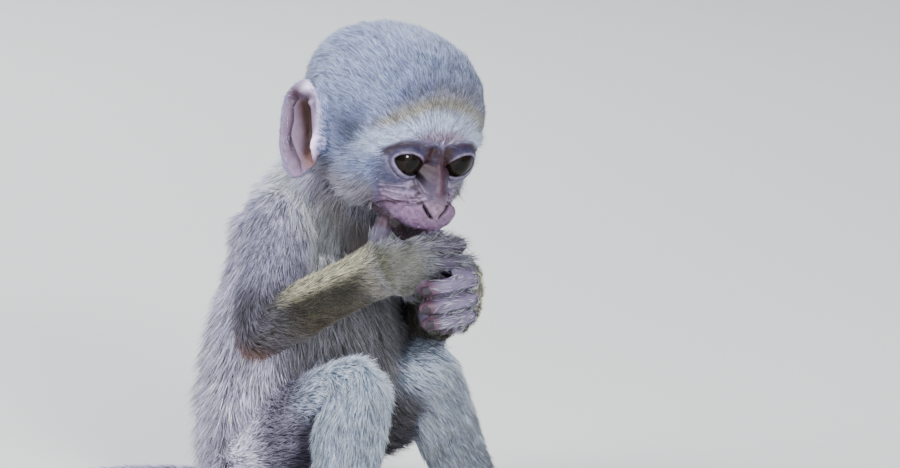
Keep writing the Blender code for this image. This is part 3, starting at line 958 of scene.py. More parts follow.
def sculpt_lids(skin):
    """Wraps the skin round both eyeballs, evens it out round them, and folds it. Gives each eye's lids."""
    head = in_head(skin.points)
    lids = [wrap_lids(head, sign) for sign in (-1, 1)]
    ring = np.zeros(len(head))
    for index, gap, _ in lids:
        ring[index] = np.maximum(ring[index], step(0.9, 2.0, gap) * step(7.5, 5.0, gap))
    beside_nose = ring * step(8.5, 6.5, np.abs(head[:, 0])) * step(3.0, -1.0, head[:, 2])
    skin.points = from_head(head)
    for share, rounds in ((ring * 0.8, 50), (np.clip(beside_nose, 0, 1) * 0.95, 220)):
        for _ in range(rounds):
            skin.points += (skin.averaged(skin.points) - skin.points) * share[:, None]
    skin.measure()
    folds = np.zeros(len(head))
    for index, gap, above in lids:
        folds[index] = np.maximum(folds[index], lid_creases(gap, above))
    skin.points -= skin.normals * folds[:, None] * MM
    skin.measure()
    return lids


def sculpt_digits(skin, part):
    """Deep grooves between fingers and toes, and fine creases across their joints."""
    for node in PAWS:
        index = np.nonzero(part[node] > 0.4)[0]
        along, near, margin = on_digits(skin.points[index], node)
        on = step(0.01, 0.14, along) * step(7.5, 5.5, near)
        deep = 1.7 * bump(margin, 1.5) * on
        joints = sum(bump(along - place, 0.030) for place in (0.30, 0.36, 0.63, 0.69))
        deep += 0.25 * joints * on - 0.35 * bump(along - 0.33, 0.10) * on
        skin.points[index] -= skin.normals[index] * deep[:, None] * MM
    skin.measure()


def sculpt_ear(points, node, share):
    """Folds the ear's sheet: rolled rim, groove, inner ridge, deep bowl, tragus and lobe."""
    q = in_ear(points, node)
    flat, u, v = q[:, 1:], q[:, 1], q[:, 2]
    r = np.sqrt(u * u + v * v)
    turn = np.arctan2(v, -u)  # 0 at the back, a quarter turn up
    rolled = step(-2.0, -1.2, turn) * step(2.9, 2.2, turn)
    wave = 0.06 * np.sin(turn * 5 + 0.7)
    outer = step(-1.0, 1.5, q[:, 0])

    def near(line, width):
        return bump(to_line(flat, line)[0], width)

    shift = 1.7 * bump(r - 0.92 + wave, 0.13)
    shift -= 2.3 * bump(r - 0.70 + wave, 0.11) * rolled * outer
    shift += 1.6 * near([(-0.10, 0.70), (-0.48, 0.34), (-0.48, -0.15), (-0.18, -0.5)], 0.12)
    shift += 0.9 * near([(-0.30, 0.25), (0.05, 0.52), (0.40, 0.60)], 0.09) * outer
    shift -= 3.4 * near([(-0.12, 0.36), (-0.04, -0.05), (0.14, -0.28)], 0.24) * outer
    shift += 3.0 * bump(u - 0.66, 0.20) * bump(v + 0.27, 0.20)
    shift += 1.6 * bump(u - 0.10, 0.16) * bump(v + 0.66, 0.12)
    shift -= 2.4 * near(EAR_NOTCH, 0.11) * outer
    shift -= 1.8 * bump(u + 0.62, 0.10) * bump(v - 0.52, 0.12)
    shift += 0.9 * bump(v + 0.88, 0.2)
    out, _, up = ear_place(node)[1]
    points += out * (shift * share)[:, None] * MM
    points -= up * (3.4 * step(0.1, 1.0, v) * share)[:, None] * MM


def ear_colours(points, node):
    """How much of the dark hollow colour, partly painted shade, how orange and how pale the ear is at each
    point: its hollows, its notch and its front.
    """
    q = in_ear(points, node)
    flat, u, v = q[:, 1:], q[:, 1], q[:, 2]
    r, turn = np.sqrt(u * u + v * v), np.arctan2(v, -u)
    bowl = bump(to_line(flat, [(-0.14, 0.36), (-0.06, -0.05), (0.14, -0.28)])[0], 0.28)
    lower = bump(to_line(flat, EAR_NOTCH)[0], 0.15)
    groove = bump(r - 0.70 + 0.06 * np.sin(turn * 5 + 0.7), 0.10)
    groove = groove * step(-2.0, -1.2, turn) * step(2.9, 2.2, turn)
    notch = bump(u + 0.62, 0.12) * bump(v - 0.40, 0.14)
    # darker in the bowl, groove and notch: partly the skin's colour, partly painted shade
    deep = np.maximum.reduce([1.35 * bowl, 0.5 * lower, 0.75 * groove, 0.8 * notch])
    pale = np.maximum.reduce([
        bump(u - 0.70, 0.22) * bump(v + 0.27, 0.30),
        0.7 * bump(u - 0.75, 0.2) * step(-0.2, 0.3, v),
        bump(u - 0.30, 0.32) * bump(v - 0.78, 0.20),
    ])
    return np.clip(deep, 0, 1), lower, pale


def face_colours(head, lids):
    """The bare face's own colours."""
    x, z = np.abs(head[:, 0]), head[:, 2]
    flat = np.stack([x, z], axis=1)
    face = np.zeros((len(head), 3)) + tint("face")

    def paint(name, share, darker=1.0):
        nonlocal face
        face = mix(face, tint(name) * darker, share)

    def stroke(name, line, width, share, darker=1.0):
        paint(name, np.clip(bump(to_line(flat, line)[0], width) * share, 0, 1), darker)

    paint("face_side", step(-21, -16, z))
    round_eye = np.zeros(len(head))
    for sign in (-1, 1):
        spots = eye_spots(head, sign)
        round_eye = np.maximum(round_eye, bump(np.hypot(spots[:, 0], spots[:, 2] * 1.2) - 5, 5.5))
    paint("face_eye", round_eye * 0.6)
    paint("face_side", step(12.5, 17.5, x) * 0.8)
    paint("nose_bridge", bump(x, 3.8) * step(1, -4, z) * step(-20, -15, z))
    paint("nose", bump(x, 4.0) * bump(z + 21, 3.5))
    # painted shade beside the nose, partly over the dark reddish skin between the eyes
    stroke("face_dark_and_crease_shade", [(4.6, -5), (5.0, -11), (5.6, -15)], 1.5, 0.7)
    paint("face_dark_and_crease_shade", bump(x, 4.6) * bump(z + 3.6, 4.4) * 0.85)
    # painted shade: the mouth line darkened, the nostril slits nearly black, and the chin under the lip near
    # black
    stroke("lips", MOUTH, 1.3, 1.0, 0.4)
    stroke("lips", NOSTRIL, 0.5, 1.3, 0.06)
    paint("lips", step(-30.3, -31.4, z) * step(12, 9, x), 0.22)
    # painted shade in the cheek fold and along the side of the nose
    stroke("face_dark_and_crease_shade", CHEEK_FOLD, 0.8, 0.9)
    stroke("face_dark_and_crease_shade", [(4.6, -12), (5.4, -15), (6.6, -18)], 1.2, 0.7)
    # painted shade in each crease under the eye, and a painted highlight on the skin just above it
    for line, strength in eye_bag_lines():
        stroke("face_dark_and_crease_shade", line, 0.4, 0.7 * strength)
        stroke("lid_edge_and_ridge_highlight", [(out, up + 0.75) for out, up in line], 0.36, 0.75 * strength, 1.2)
    # painted shade in short upright creases over the brow fold
    for k in range(7):  # short upright creases over the brow fold
        start = (2.5 + 2.2 * k, 2.6 + 0.25 * math.sin(2.0 * k))
        stroke("face_dark_and_crease_shade", [start, (start[0] + 0.5, start[1] + 2.2)], 0.3, 0.45)
    for index, gap, above in lids:
        around = face[index]
        for name, share in (
            # upper lid darkened, partly painted shade under the brow
            ("lid", step(4.0, 2.6, gap) * above * 0.9),
            ("lid_edge_and_ridge_highlight", bump(gap - 0.55, 0.38) * 0.6),
            # painted highlight on the ridge below the eye
            ("lid_edge_and_ridge_highlight", bump(gap - 2.9, 0.45) * (1 - above) * 0.45),
            # painted shade in the creases below and above the eye
            ("face_dark_and_crease_shade", bump(gap - 1.75, 0.35) * (1 - above) * 0.6),
            ("face_dark_and_crease_shade", bump(gap - 3.3, 1.1) * above * 0.6),
            # partly the dark lid edge, partly painted shade where the lid meets the eyeball
            ("iris_edge", step(0.22, -0.08, gap)),
        ):
            around = mix(around, tint(name), share)
        face[index] = around
    stroke("brow_skin", [(0, 2.6), (6, 4.0), (12, 4.1), (17, 1.8)], 1.2, 0.95)
    # painted shade beside the nose root and in the fold under the brow
    stroke("face_dark_and_crease_shade", [(2.8, 0.6), (3.4, -2.0), (4.4, -6.0), (5.0, -8.5)], 2.4, 1.0)
    stroke("face_dark_and_crease_shade", [(2.8, 0.6), (7, 1.2), (12, 1.2), (16, -1.1), (19.5, -4.3)], 1.1, 0.35)
    return face * (1 + 0.20 * drift(head, 2.4, 8) + 0.16 * drift(head, 1.0, 9))[:, None]


def skin_colours(skin, part, lids):
    """The coat's colours on the skin, darker under the coat, and the bare parts' own colours, with painted
    shade in creases and hollows.
    """
    points, head = skin.points, in_head(skin.points)
    shade = markings(points, part, np.zeros(len(points))) * UNDER_COAT
    shade = mix(shade, face_colours(head, lids), bare_face(head) * part["head"])
    for side in SIDES:
        node = "ear_" + side
        deep, lower, pale = ear_colours(points, node)
        ear = mix(tint("ear"), tint("ear_hollow_and_shade"), deep)
        ear = mix(ear, tint("ear_low"), lower * 0.9)
        ear = mix(ear, tint("ear_pale"), pale)
        shade = mix(shade, ear, part[node])
    for node, light in PAWS.items():
        index = np.nonzero(part[node] > 0.01)[0]
        along, _, margin = on_digits(points[index], node)
        bare_skin = mix(tint("paw"), tint("paw_tip"), step(0.78, 0.96, along))
        # painted shade in the grooves between the digits
        bare_skin *= (1 - 0.85 * bump(margin, 1.5) * step(0.0, 0.1, along))[:, None]
        # each hand's skin lightened or darkened by its factor, painted light
        shade[index] = mix(shade[index], bare_skin * light["skin"], part[node][index])
    return shade


def smooth_flesh():
    """The flesh as one smooth mesh, with fewer triangles where the coat hides it."""
    mesh = flesh_mesh()
    skin = Surface(mesh)
    part, head = nearest_parts(skin.points), in_head(skin.points)
    fine = bare_face(head) * part["head"] > 0.02
    for name in (*PAWS, "ear_right", "ear_left"):
        fine |= part[name] > 0.5
    fine |= (head[:, 1] > 12) & (part["head"] > 0.5) & (np.abs(head[:, 0]) < 26)
    skin.relax(9, np.where(fine, 0.8, 1.0))
    write_points(mesh, skin.points)
    return thinned(mesh, keep=fine, target=0.34)


def finer_face(mesh):
    """The mesh refined in three rounds: face and fingers, then eyes and mouth, then the lids' edges."""
    for level in range(3):
        centres = face_centres(mesh)
        head = in_head(centres)
        x, f, z = np.abs(head[:, 0]), head[:, 1], head[:, 2]
        gap = np.full(len(head), 99.0)
        for sign in (-1, 1):
            spots = eye_spots(head, sign)
            near = np.nonzero((np.linalg.norm(spots, axis=1) < 14) & (spots[:, 1] > 0.3))[0]
            gap[near] = np.minimum(gap[near], lid_gap(on_ball(spots[near])))
        if level == 0:
            chosen = (f > 14) & (x < 24) & (z < 9) & (z > -36)
            for node in DIGITS:
                along, near, margin = on_digits(centres, node)
                chosen |= (near < 6.5) & (margin < 2.2) & (along > 0)
        elif level == 1:
            mouth = (z > -33) & (z < -16) & (f > 22)
            chosen = (f > 17) & ((np.abs(gap) < 4.6) | (mouth & (x < 13)))
        else:
            chosen = np.abs(gap) < 0.85
        mesh = refined(mesh, np.nonzero(chosen)[0])
    return mesh


class VERVET_OT_skin(bpy.types.Operator):
    """Make the skin in one piece, with lids, nose, mouth, ears and creases"""

    bl_idname = "vervet.skin"
    bl_label = "Skin"

    def execute(self, context):
        mesh = finer_face(smooth_flesh())
        skin = Surface(mesh)
        part = {name: skin.spread(values, 4) for name, values in nearest_parts(skin.points).items()}
        face = bare_face(in_head(skin.points)) * part["head"]
        skin.relax(8, np.clip(face + 0.3, 0, 1))
        depth = skin.spread(coat_depth(skin.points, part), 12)
        skin.points -= skin.spread(skin.normals, 4) * depth[:, None]
        skin.relax(3, np.clip(1 - 0.7 * face, 0, 1))
        for side in SIDES:
            sculpt_ear(skin.points, "ear_" + side, part["ear_" + side])
        lids = sculpt_lids(skin)
        sculpt_face(skin)
        sculpt_digits(skin, part)
        skin.points[:, 2] = np.maximum(skin.points[:, 2], SKIN_CLEAR)
        skin.measure()
        write_points(mesh, skin.points)
        mesh.shade_smooth()
        write_colours(mesh, "markings", skin_colours(skin, part, lids))
        show("skin", mesh, skin_finish(), "coat", *FLESH)
        SKIN.clear()
        SKIN.update(surface=skin, part=part)
        return {"FINISHED"}


# ---------------------------------------------------------------- eyes


def gaze():
    """The way the eyes look: nearly ahead, a little to the animal's right and up."""
    return Vector((np.array([-0.10, 0.99, 0.05]) @ head_axes()[1])).normalized()


def eye_mesh(centre, way):
    """A closed eyeball with a cornea that stands proud."""
    radius = sizes().eye_radius
    bm = bmesh.new()
    bmesh.ops.create_uvsphere(bm, u_segments=128, v_segments=96, radius=radius)
    turn = way.to_track_quat("Z", "Y").to_matrix().to_4x4()
    for vertex in bm.verts:
        angle = vertex.co.angle(UP)
        vertex.co *= 1 + 0.045 * math.exp(-(angle / 0.52) ** 4)
    bmesh.ops.transform(bm, matrix=Matrix.Translation(centre) @ turn, verts=bm.verts)
    bmesh.ops.recalc_face_normals(bm, faces=bm.faces)
    mesh = mesh_from(bm, "eye")
    mesh.shade_smooth()
    return mesh


def eye_colours(mesh, centre, way):
    points = Surface(mesh).points - np.array(centre)
    local = points @ np.array(way.to_track_quat("Z", "Y").to_matrix())
    out = np.hypot(local[:, 0], local[:, 1]) / MM
    out = np.where(local[:, 2] > 0, out, 20)
    turn = np.arctan2(local[:, 1], local[:, 0])
    iris, pupil = sizes().iris_radius / MM, sizes().pupil_radius / MM
    fibres = np.sin(turn * 23 + 1.3 * np.sin(turn * 7)) * 0.5 + np.sin(turn * 41 + 2 * out) * 0.3
    ring = tint("iris") * (1.0 + 0.35 * fibres * step(pupil, iris, out))[:, None]
    ring = ring * (1 + 0.8 * bump(out - pupil - 0.7, 0.7))[:, None]
    shade = mix(ring, tint("iris_edge"), step(iris - 1.1, iris - 0.1, out))
    shade = mix(shade, np.zeros(3) + 0.002, step(pupil + 0.12, pupil - 0.12, out))
    return mix(shade, tint("sclera"), step(iris + 0.1, iris + 0.9, out))


def eye_finish():
    """A wet cornea over a dark iris: one clear glossy layer over a nearly matt one."""
    material, shader = plain(
        "eye, wet cornea over brown iris",
        Roughness=0.5, Specular_IOR_Level=0.0, Coat_Weight=0.8, Coat_Roughness=0.02, Coat_IOR=1.27,
    )
    marked(material, shader, 0.5 * MM, 0.7, 1.3)
    return material


class VERVET_OT_eyes(bpy.types.Operator):
    """Make the two eyeballs, with iris, pupil and a bulging cornea"""

    bl_idname = "vervet.eyes"
    bl_label = "Eyes"

    def execute(self, context):
        material = eye_finish()
        for node in EYE_NODES:
            mesh = eye_mesh(middle(node), gaze())
            write_colours(mesh, "markings", eye_colours(mesh, middle(node), gaze()))
            show("eyeball_" + node[4:], mesh, material, "eye", node)
        return {"FINISHED"}


# ---------------------------------------------------------------- coat


def laid(ways, normals):
    """Ways turned to run along the skin."""
    return unit(ways - normals * np.sum(ways * normals, axis=1)[:, None])


def lie_of_coat(surface, part):
    """The way the hair runs at each point of the skin, along the skin."""
    points = surface.points
    away = unit(points - from_head([(0, 26, -3)])[0])
    nape = step(-2, -26, in_head(points)[:, 1])[:, None]
    flow = part["head"][:, None] * (away * (1 - nape) + nape * np.array([0, 0.2, -1.0]))
    outward = unit(points * np.array([1, 1, 0]))
    flow += (part["trunk"] + part["neck"])[:, None] * (np.array([0.0, 0.10, -1.0]) + 0.25 * outward)
    for name, (near, far) in limb_lines().items():
        way = unit(np.array(far - near))
        sag = 0.35 if name.startswith(("upper", "forearm")) else 0.1
        flow += part[name][:, None] * (way + sag * np.array([0, 0, -1.0]))
    for node in PAWS:
        index = np.nonzero(part[node] > 0.01)[0]
        share = 2.5 * part[node][index] * past_knuckles(points[index], node)
        flow[index] += share[:, None] * digit_ways(points[index], node)
    line = np.array(tail_line())
    ways = unit(np.gradient(line, axis=0))
    tail = whole_tail(part)
    index = np.nonzero(tail > 0.01)[0]
    nearest = np.argmin(np.linalg.norm(points[index, None] - line[None], axis=2), axis=1)
    flow[index] += tail[index, None] * ways[nearest]
    for side in SIDES:
        _, forward, up = ear_place("ear_" + side)[1]
        flow += part["ear_" + side][:, None] * (up * 0.6 - forward)
    for _ in range(4):
        flow = laid(surface.spread(flow, 5), surface.normals)
    return flow


def round_map(points, middle_line, turn=0.0):
    """A place on an unwrap: the turn about a line, and the way along it, both in metres and radians."""
    start, end = (np.array(v) for v in middle_line)
    way = unit(end - start)
    across = unit(np.cross(way, [0.31, 0.52, 0.8]))
    other = np.cross(way, across)
    q = points - start
    angle = np.arctan2(q @ other, q @ across) + turn
    return np.stack([(angle / (2 * math.pi)) % 1.0, q @ way], axis=1)


def cap_map(points, centre, pole):
    """A place on an unwrap of a round cap: its turn and its distance from the pole, laid flat."""
    q = unit(points - np.array(centre))
    pole = unit(np.array(pole))
    across = unit(np.cross(pole, [0.13, 0.21, 0.97]))
    other = np.cross(pole, across)
    tilt = np.arccos(np.clip(q @ pole, -1, 1))
    angle = np.arctan2(q @ other, q @ across)
    return np.stack([tilt * np.cos(angle), tilt * np.sin(angle)], axis=1)


def fitted(places):
    """Unwrap places scaled into the square, clear of its edges."""
    low, high = places.min(axis=0), places.max(axis=0)
    return 0.006 + 0.988 * (places - low) / np.maximum(high - low, 1e-9)


def sown(surface, weights, total, rng):
    """Roots scattered over the skin: their triangles and their place in each."""
    chance = surface.areas * weights[surface.triangles].mean(axis=1)
    chosen = rng.choice(len(chance), size=total, p=chance / chance.sum())
    a, b = rng.random(total), rng.random(total)
    over = a + b > 1
    a, b = np.where(over, 1 - a, a), np.where(over, 1 - b, b)
    return chosen, np.stack([1 - a - b, a, b], axis=1)


def at_roots(surface, values, chosen, shares):
    """A value kept for each point of the skin, read at the roots."""
    corners = values[surface.triangles[chosen]]
    return np.einsum("ij,ij...->i...", shares, corners)


def tuft_mesh(name, roots, normals, ways, spans, widths, bends, unwrap, root_colours, tip_colours, curved):
    """Closed tufts as one mesh: three-sided spikes, or locks that are widest and bent at their middle."""
    total = len(roots)
    side = unit(np.cross(ways, normals))
    over = unit(np.cross(side, ways))
    span, width = spans[:, None], widths[:, None]
    tips = roots + ways * span - normals * bends[:, None] * span * 0.5
    half = sizes().patch / 2
    if curved:
        waist = roots + ways * span * 0.42 + normals * bends[:, None] * span * 0.28
        rim = [waist + side * width / 2, waist - side * width / 2, waist + over * width * 0.42]
        corners = [roots, *rim, tips]
        faces = [(0, 1, 3), (0, 3, 2), (0, 2, 1), (4, 3, 1), (4, 2, 3), (4, 1, 2)]
        spots = [(0, -1), (0.9, 0), (-0.9, 0), (0.05, 0.1), (0, 1)]
        mids = mix(root_colours, tip_colours, np.full(total, 0.55))
        colours = [root_colours, mids, mids, mids, tip_colours]
    else:
        corners = [roots + side * width / 2, roots - side * width / 2, roots + over * width * 0.45, tips]
        faces = [(3, 2, 0), (3, 1, 2), (3, 0, 1), (0, 2, 1)]
        spots = [(0.9, -1), (-0.9, -1), (0.05, -0.7), (0, 1)]
        colours = [root_colours, root_colours, root_colours, tip_colours]
    each = len(corners)
    points = np.stack(corners, axis=1).reshape(-1, 3)
    faces = np.array(faces, np.int32)
    loops = (faces.ravel()[None] + (np.arange(total) * each)[:, None]).ravel().astype(np.int32)
    polygons = total * len(faces)
    mesh = bpy.data.meshes.new(name)
    mesh.vertices.add(total * each)
    mesh.loops.add(polygons * 3)
    mesh.polygons.add(polygons)
    mesh.vertices.foreach_set("co", points.astype(np.float32).ravel())
    mesh.polygons.foreach_set("loop_start", np.arange(0, polygons * 3, 3, dtype=np.int32))
    mesh.loops.foreach_set("vertex_index", loops)
    mesh.update(calc_edges=True)
    write_colours(mesh, "markings", np.stack(colours, axis=1).reshape(-1, 3))
    spots = np.array(spots) * half
    places = (unwrap[:, None, :] + spots[None]).reshape(-1, 2)
    layer = mesh.uv_layers.new(name="OFBake")
    layer.data.foreach_set("uv", places[loops].astype(np.float32).ravel())
    mesh.shade_smooth()
    return mesh


def coat_fields(surface, part):
    """Length, width and lift of the hair at each point, and how thickly it grows."""
    head = in_head(surface.points)
    f, z = head[:, 1], head[:, 2]
    length, width, lift, thick = fields = np.zeros((4, len(surface.points)))
    for name, share in part.items():
        for field, value in zip(fields, coat_of(name)[1:]):
            field += share * value
    y, high = surface.points[:, 1] / MM, surface.points[:, 2] / MM
    rump = part["trunk"] * step(-2, 12, y) * step(100, 60, high)
    length += 4.5 * rump
    lift += 9 * rump
    belly = part["trunk"] * step(-6, -18, y)
    length -= 2.5 * belly
    on_face = part["head"] * step(8, 20, f)
    length -= 1.6 * on_face
    lift -= 4 * on_face
    width -= 0.08 * on_face
    neck = np.clip(part["neck"] + part["head"] * step(-12, -22, z) * step(24, 12, f), 0, 1)
    length += 3.5 * neck
    lift += 12 * neck
    under = pair(part, "thigh") * step(0.1, -0.5, surface.normals[:, 2])
    length += 5.0 * under
    for node in PAWS:
        index = np.nonzero(part[node] > 0.01)[0]
        points, share = surface.points[index], part[node][index]
        along = on_digits(points, node)[0]
        palm = unit(np.array(PAWS[node]["palm"]))
        faces_out = step(0.45, -0.15, surface.normals[index] @ palm)
        finger = past_knuckles(points, node)
        length[index] += share * (1.2 + 1.9 * finger)
        lift[index] += share * 4 * finger
        width[index] -= share * 0.06 * finger
        patchy = 0.25 + 0.75 * step(-0.1, 0.35, drift(points, 7 * MM, 77))
        thick[index] *= 1 - on_thumb(points, node)
        thick[index] *= faces_out * step(0.86, 0.70, along) * (2.4 - (2.4 - 0.55 * patchy) * finger)
    bare = bare_face(head) * part["head"]
    thick *= np.clip(1 - bare * 1.25, 0, 1)
    return fields


PIECES = {  # the coat's pieces: slot, seed of the random draws, and number of tufts
    "coat_crown": ("head_coat", 11, 46000),
    "coat_face": ("head_coat", 12, 44000),
    "coat_ears": ("ear", 13, 4000),
    "bristles": ("head_coat", 14, 3200),
    "coat_back": ("coat", 21, 31000),
    "coat_flanks": ("coat", 22, 31000),
    "coat_chest": ("coat", 23, 26000),
    "coat_arm_right": ("forearm_coat", 31, 34000),
    "coat_arm_left": ("forearm_coat", 32, 16000),
    "coat_leg_right": ("shin_coat", 41, 33000),
    "coat_leg_left": ("shin_coat", 42, 28000),
    "coat_hand_right": ("hand_skin", 51, 9000),
    "coat_hand_left": ("hand_skin", 52, 7000),
    "coat_foot_right": ("foot_skin", 61, 4000),
    "coat_foot_left": ("foot_skin", 62, 4000),
    "coat_tail": ("tail_coat", 71, 13000),
}
CLUMP_REACH, CLUMP_TUFTS = 3.5 * MM, 22  # how near a clump's middle draws tufts, and tufts for each clump


def grow(
    name, mask, unwrap, curved=False, scale=1.0, fine=1.0, raise_by=0.0, spread=11, clump=0.3,
    even_growth=True, noise=1.0,
):
    """One piece of the coat: tufts scattered where the mask is above 0."""
    if "flow" not in SKIN:
        prepare_coat()
    surface, part = SKIN["surface"], SKIN["part"]
    length, width, lift, thick = SKIN["fields"]
    slot, seed, total = PIECES[name]
    rng = np.random.default_rng(seed)
    chosen, shares = sown(surface, mask * thick if even_growth else mask, total, rng)

    def here(values):
        return at_roots(surface, values, chosen, shares)

    roots, normals = here(surface.points), unit(here(surface.normals))
    flow = laid(here(SKIN["flow"]), normals)
    side = np.cross(normals, flow)
    wander = np.radians(spread) * rng.normal(size=total) + np.radians(16) * drift(roots, 9 * MM, seed)
    flow = flow * np.cos(wander)[:, None] + side * np.sin(wander)[:, None]
    spans = here(length * scale) * MM * rng.uniform(0.65, 1.2, total)
    raised = np.radians(here(lift + raise_by) * rng.uniform(0.55, 1.5, total))
    ways = unit(flow * np.cos(raised)[:, None] + normals * np.sin(raised)[:, None])
    widths = here(width * fine) * MM * rng.uniform(0.7, 1.3, total)
    bunch = 0.0
    if clump > 0:
        ways, owner = gathered(roots, ways, spans, clump, rng)
        bunch = (0.13 * rng.normal(size=owner.max() + 1))[owner]
    ways = off_floor(roots, ways, spans)
    bends = rng.uniform(0.05, 0.30, total)
    marks = {key: here(values) for key, values in part.items()}
    ends = roots + ways * spans[:, None] * 0.5
    light = 1 + bunch + 0.10 * drift(roots, 5 * MM, seed + 1) + 0.30 * noise * rng.normal(size=total)
    light = np.clip(light, 0.35, 2.0)
    low = markings(ends, marks, np.zeros(total)) * UNDER_COAT
    high = markings(ends, marks, np.ones(total)) * 1.08
    chance = rng.random(total)  # a quarter of the tufts end dark, and a seventh of them pale
    high = np.where((chance < 0.26)[:, None], low * 0.5, high)
    high = np.where((chance > 0.86)[:, None], high * 1.45, high)
    low, high = low * light[:, None], high * light[:, None]
    sunk = roots - normals * 0.25 * MM
    places = fitted(unwrap(roots))
    mesh = tuft_mesh(name, sunk, normals, ways, spans, widths, bends, places, low, high, curved)
    show(name, mesh, SKIN["hair"], slot)


def gathered(roots, ways, spans, share, rng):
    """Leans each tuft's tip towards its clump's, so that neighbours draw together."""
    seeds = roots[rng.choice(len(roots), size=max(8, len(roots) // CLUMP_TUFTS), replace=False)]
    tree = KDTree(len(seeds))
    for i, place in enumerate(seeds):
        tree.insert(place, i)
    tree.balance()
    owner = np.array([tree.find(place)[1] for place in roots])
    gap = seeds[owner] - roots
    tips = roots + ways * spans[:, None]
    centre = np.zeros((len(seeds), 3))
    number = np.maximum(np.bincount(owner, minlength=len(seeds)), 1)
    for axis in range(3):
        centre[:, axis] = np.bincount(owner, tips[:, axis], minlength=len(seeds)) / number
    pull = share * (np.linalg.norm(gap, axis=1) < CLUMP_REACH)
    aim = tips + (centre[owner] - tips) * pull[:, None]
    return unit(aim - roots), owner


def off_floor(roots, ways, spans):
    """Turns each tuft that would reach the floor, so that its end lies just above it."""
    lowest = np.clip((HAIR_CLEAR - roots[:, 2]) / spans, -1, 0.95)
    down = np.maximum(ways[:, 2], lowest)
    across = ways[:, :2] / np.maximum(np.linalg.norm(ways[:, :2], axis=1), 1e-6)[:, None]
    return np.column_stack([across * np.sqrt(1 - down**2)[:, None], down])


def prepare_coat():
    """What every piece of the coat needs of the skin, kept with it."""
    surface, part = SKIN["surface"], SKIN["part"]
    SKIN["flow"] = lie_of_coat(surface, part)
    SKIN["fields"] = coat_fields(surface, part)
    SKIN["hair"] = coat_finish()


class VERVET_OT_head_coat(bpy.types.Operator):
    """Grow the short fur of the crown, brow, cheeks and ears"""

    bl_idname = "vervet.head_coat"
    bl_label = "Head coat"

    def execute(self, context):
        part, points = SKIN["part"], SKIN["surface"].points
        head = in_head(points)
        x, f, z = np.abs(head[:, 0]), head[:, 1], head[:, 2]
        start, axes = head_axes()
        below = -axes[2] + 0.3 * axes[1]
        on_top = (z > 8 + 0.5 * f).astype(float)
        ears = np.zeros(len(head))
        for side in SIDES:
            place = in_ear(points, "ear_" + side)
            outer = step(0.74, 0.88, np.hypot(place[:, 1], place[:, 2]))
            ears += part["ear_" + side] * outer * (1 + 2 * step(0.3, 0.6, place[:, 1]))
        grow("coat_crown", part["head"] * on_top, lambda p: cap_map(p, start, axes[2]), spread=8)
        grow("coat_face", part["head"] * (1 - on_top), lambda p: cap_map(p, start, below), spread=8)
        grow("coat_ears", ears, lambda p: cap_map(p, start, axes[1]), clump=0)
        muzzle = 0.25 * bare_face(head) * step(-17, -21, z)
        brow = 1.6 * bump(z - brow_edge(x, 2.0), 1.4) * step(15, 20, f)
        cheek = 0.6 * bump(x - 20.5, 1.8) * step(-2, -6, z) * step(14, 17, f)
        size = 0.30 * (muzzle > 0.05) + 1.25 * (brow > 0.1) + 1.3 * (cheek > 0.1)
        grow(
            "bristles", part["head"] * (muzzle + brow + cheek) * (size > 0),
            lambda p: cap_map(p, start, below), scale=np.clip(size, 0.3, 1.3),
            fine=0.42, raise_by=14, spread=16, clump=0, even_growth=False,
        )
        return {"FINISHED"}


class VERVET_OT_body_coat(bpy.types.Operator):
    """Grow the fur of the back, flanks, chest and neck"""

    bl_idname = "vervet.body_coat"
    bl_label = "Body coat"

    def execute(self, context):
        part, points = SKIN["part"], SKIN["surface"].points
        y, high = points[:, 1] / MM, points[:, 2] / MM
        line = (Vector((0, 0, 0)), Vector((0, 0, 0.1)))
        torso = part["trunk"] + part["neck"]
        front = (y < -9).astype(float)
        upper = (high > 74).astype(float)
        grow("coat_back", torso * (1 - front) * upper, lambda p: round_map(p, line), curved=True)
        grow("coat_flanks", torso * (1 - front) * (1 - upper), lambda p: round_map(p, line), curved=True)
        grow("coat_chest", torso * front, lambda p: round_map(p, line, math.pi))
        return {"FINISHED"}


class VERVET_OT_limb_coat(bpy.types.Operator):
    """Grow the fur of the arms and legs"""

    bl_idname = "vervet.limb_coat"
    bl_label = "Limb coats"

    def execute(self, context):
        part, lines = SKIN["part"], limb_lines()
        for side in SIDES:
            for limb, upper, lower in (("arm_", "upper_arm_", "forearm_"), ("leg_", "thigh_", "shin_")):
                upper, lower = upper + side, lower + side
                grow(
                    "coat_" + limb + side, part[upper] + part[lower],
                    lambda p: limb_map(p, lines[upper], lines[lower]),
                )
            for node, spread, noise in (("hand_" + side, 7, 1.7), ("foot_" + side, 8, 1.5)):
                grow(
                    "coat_" + node, part[node], lambda p: round_map(p, lines[node]),
                    spread=spread, clump=0.15, noise=noise,
                )
        return {"FINISHED"}


def limb_map(points, near, far):
    """An unwrap of a bent limb: its two lengths, one above the other."""
    gaps = [to_line(points, [np.array(v) for v in line])[0] for line in (near, far)]
    first, second = round_map(points, near), round_map(points, far)
    reach = (near[1] - near[0]).length
    first[:, 1] = np.minimum(first[:, 1], reach)
    second[:, 1] = np.maximum(second[:, 1], 0) + reach
    return np.where((gaps[0] < gaps[1])[:, None], first, second)


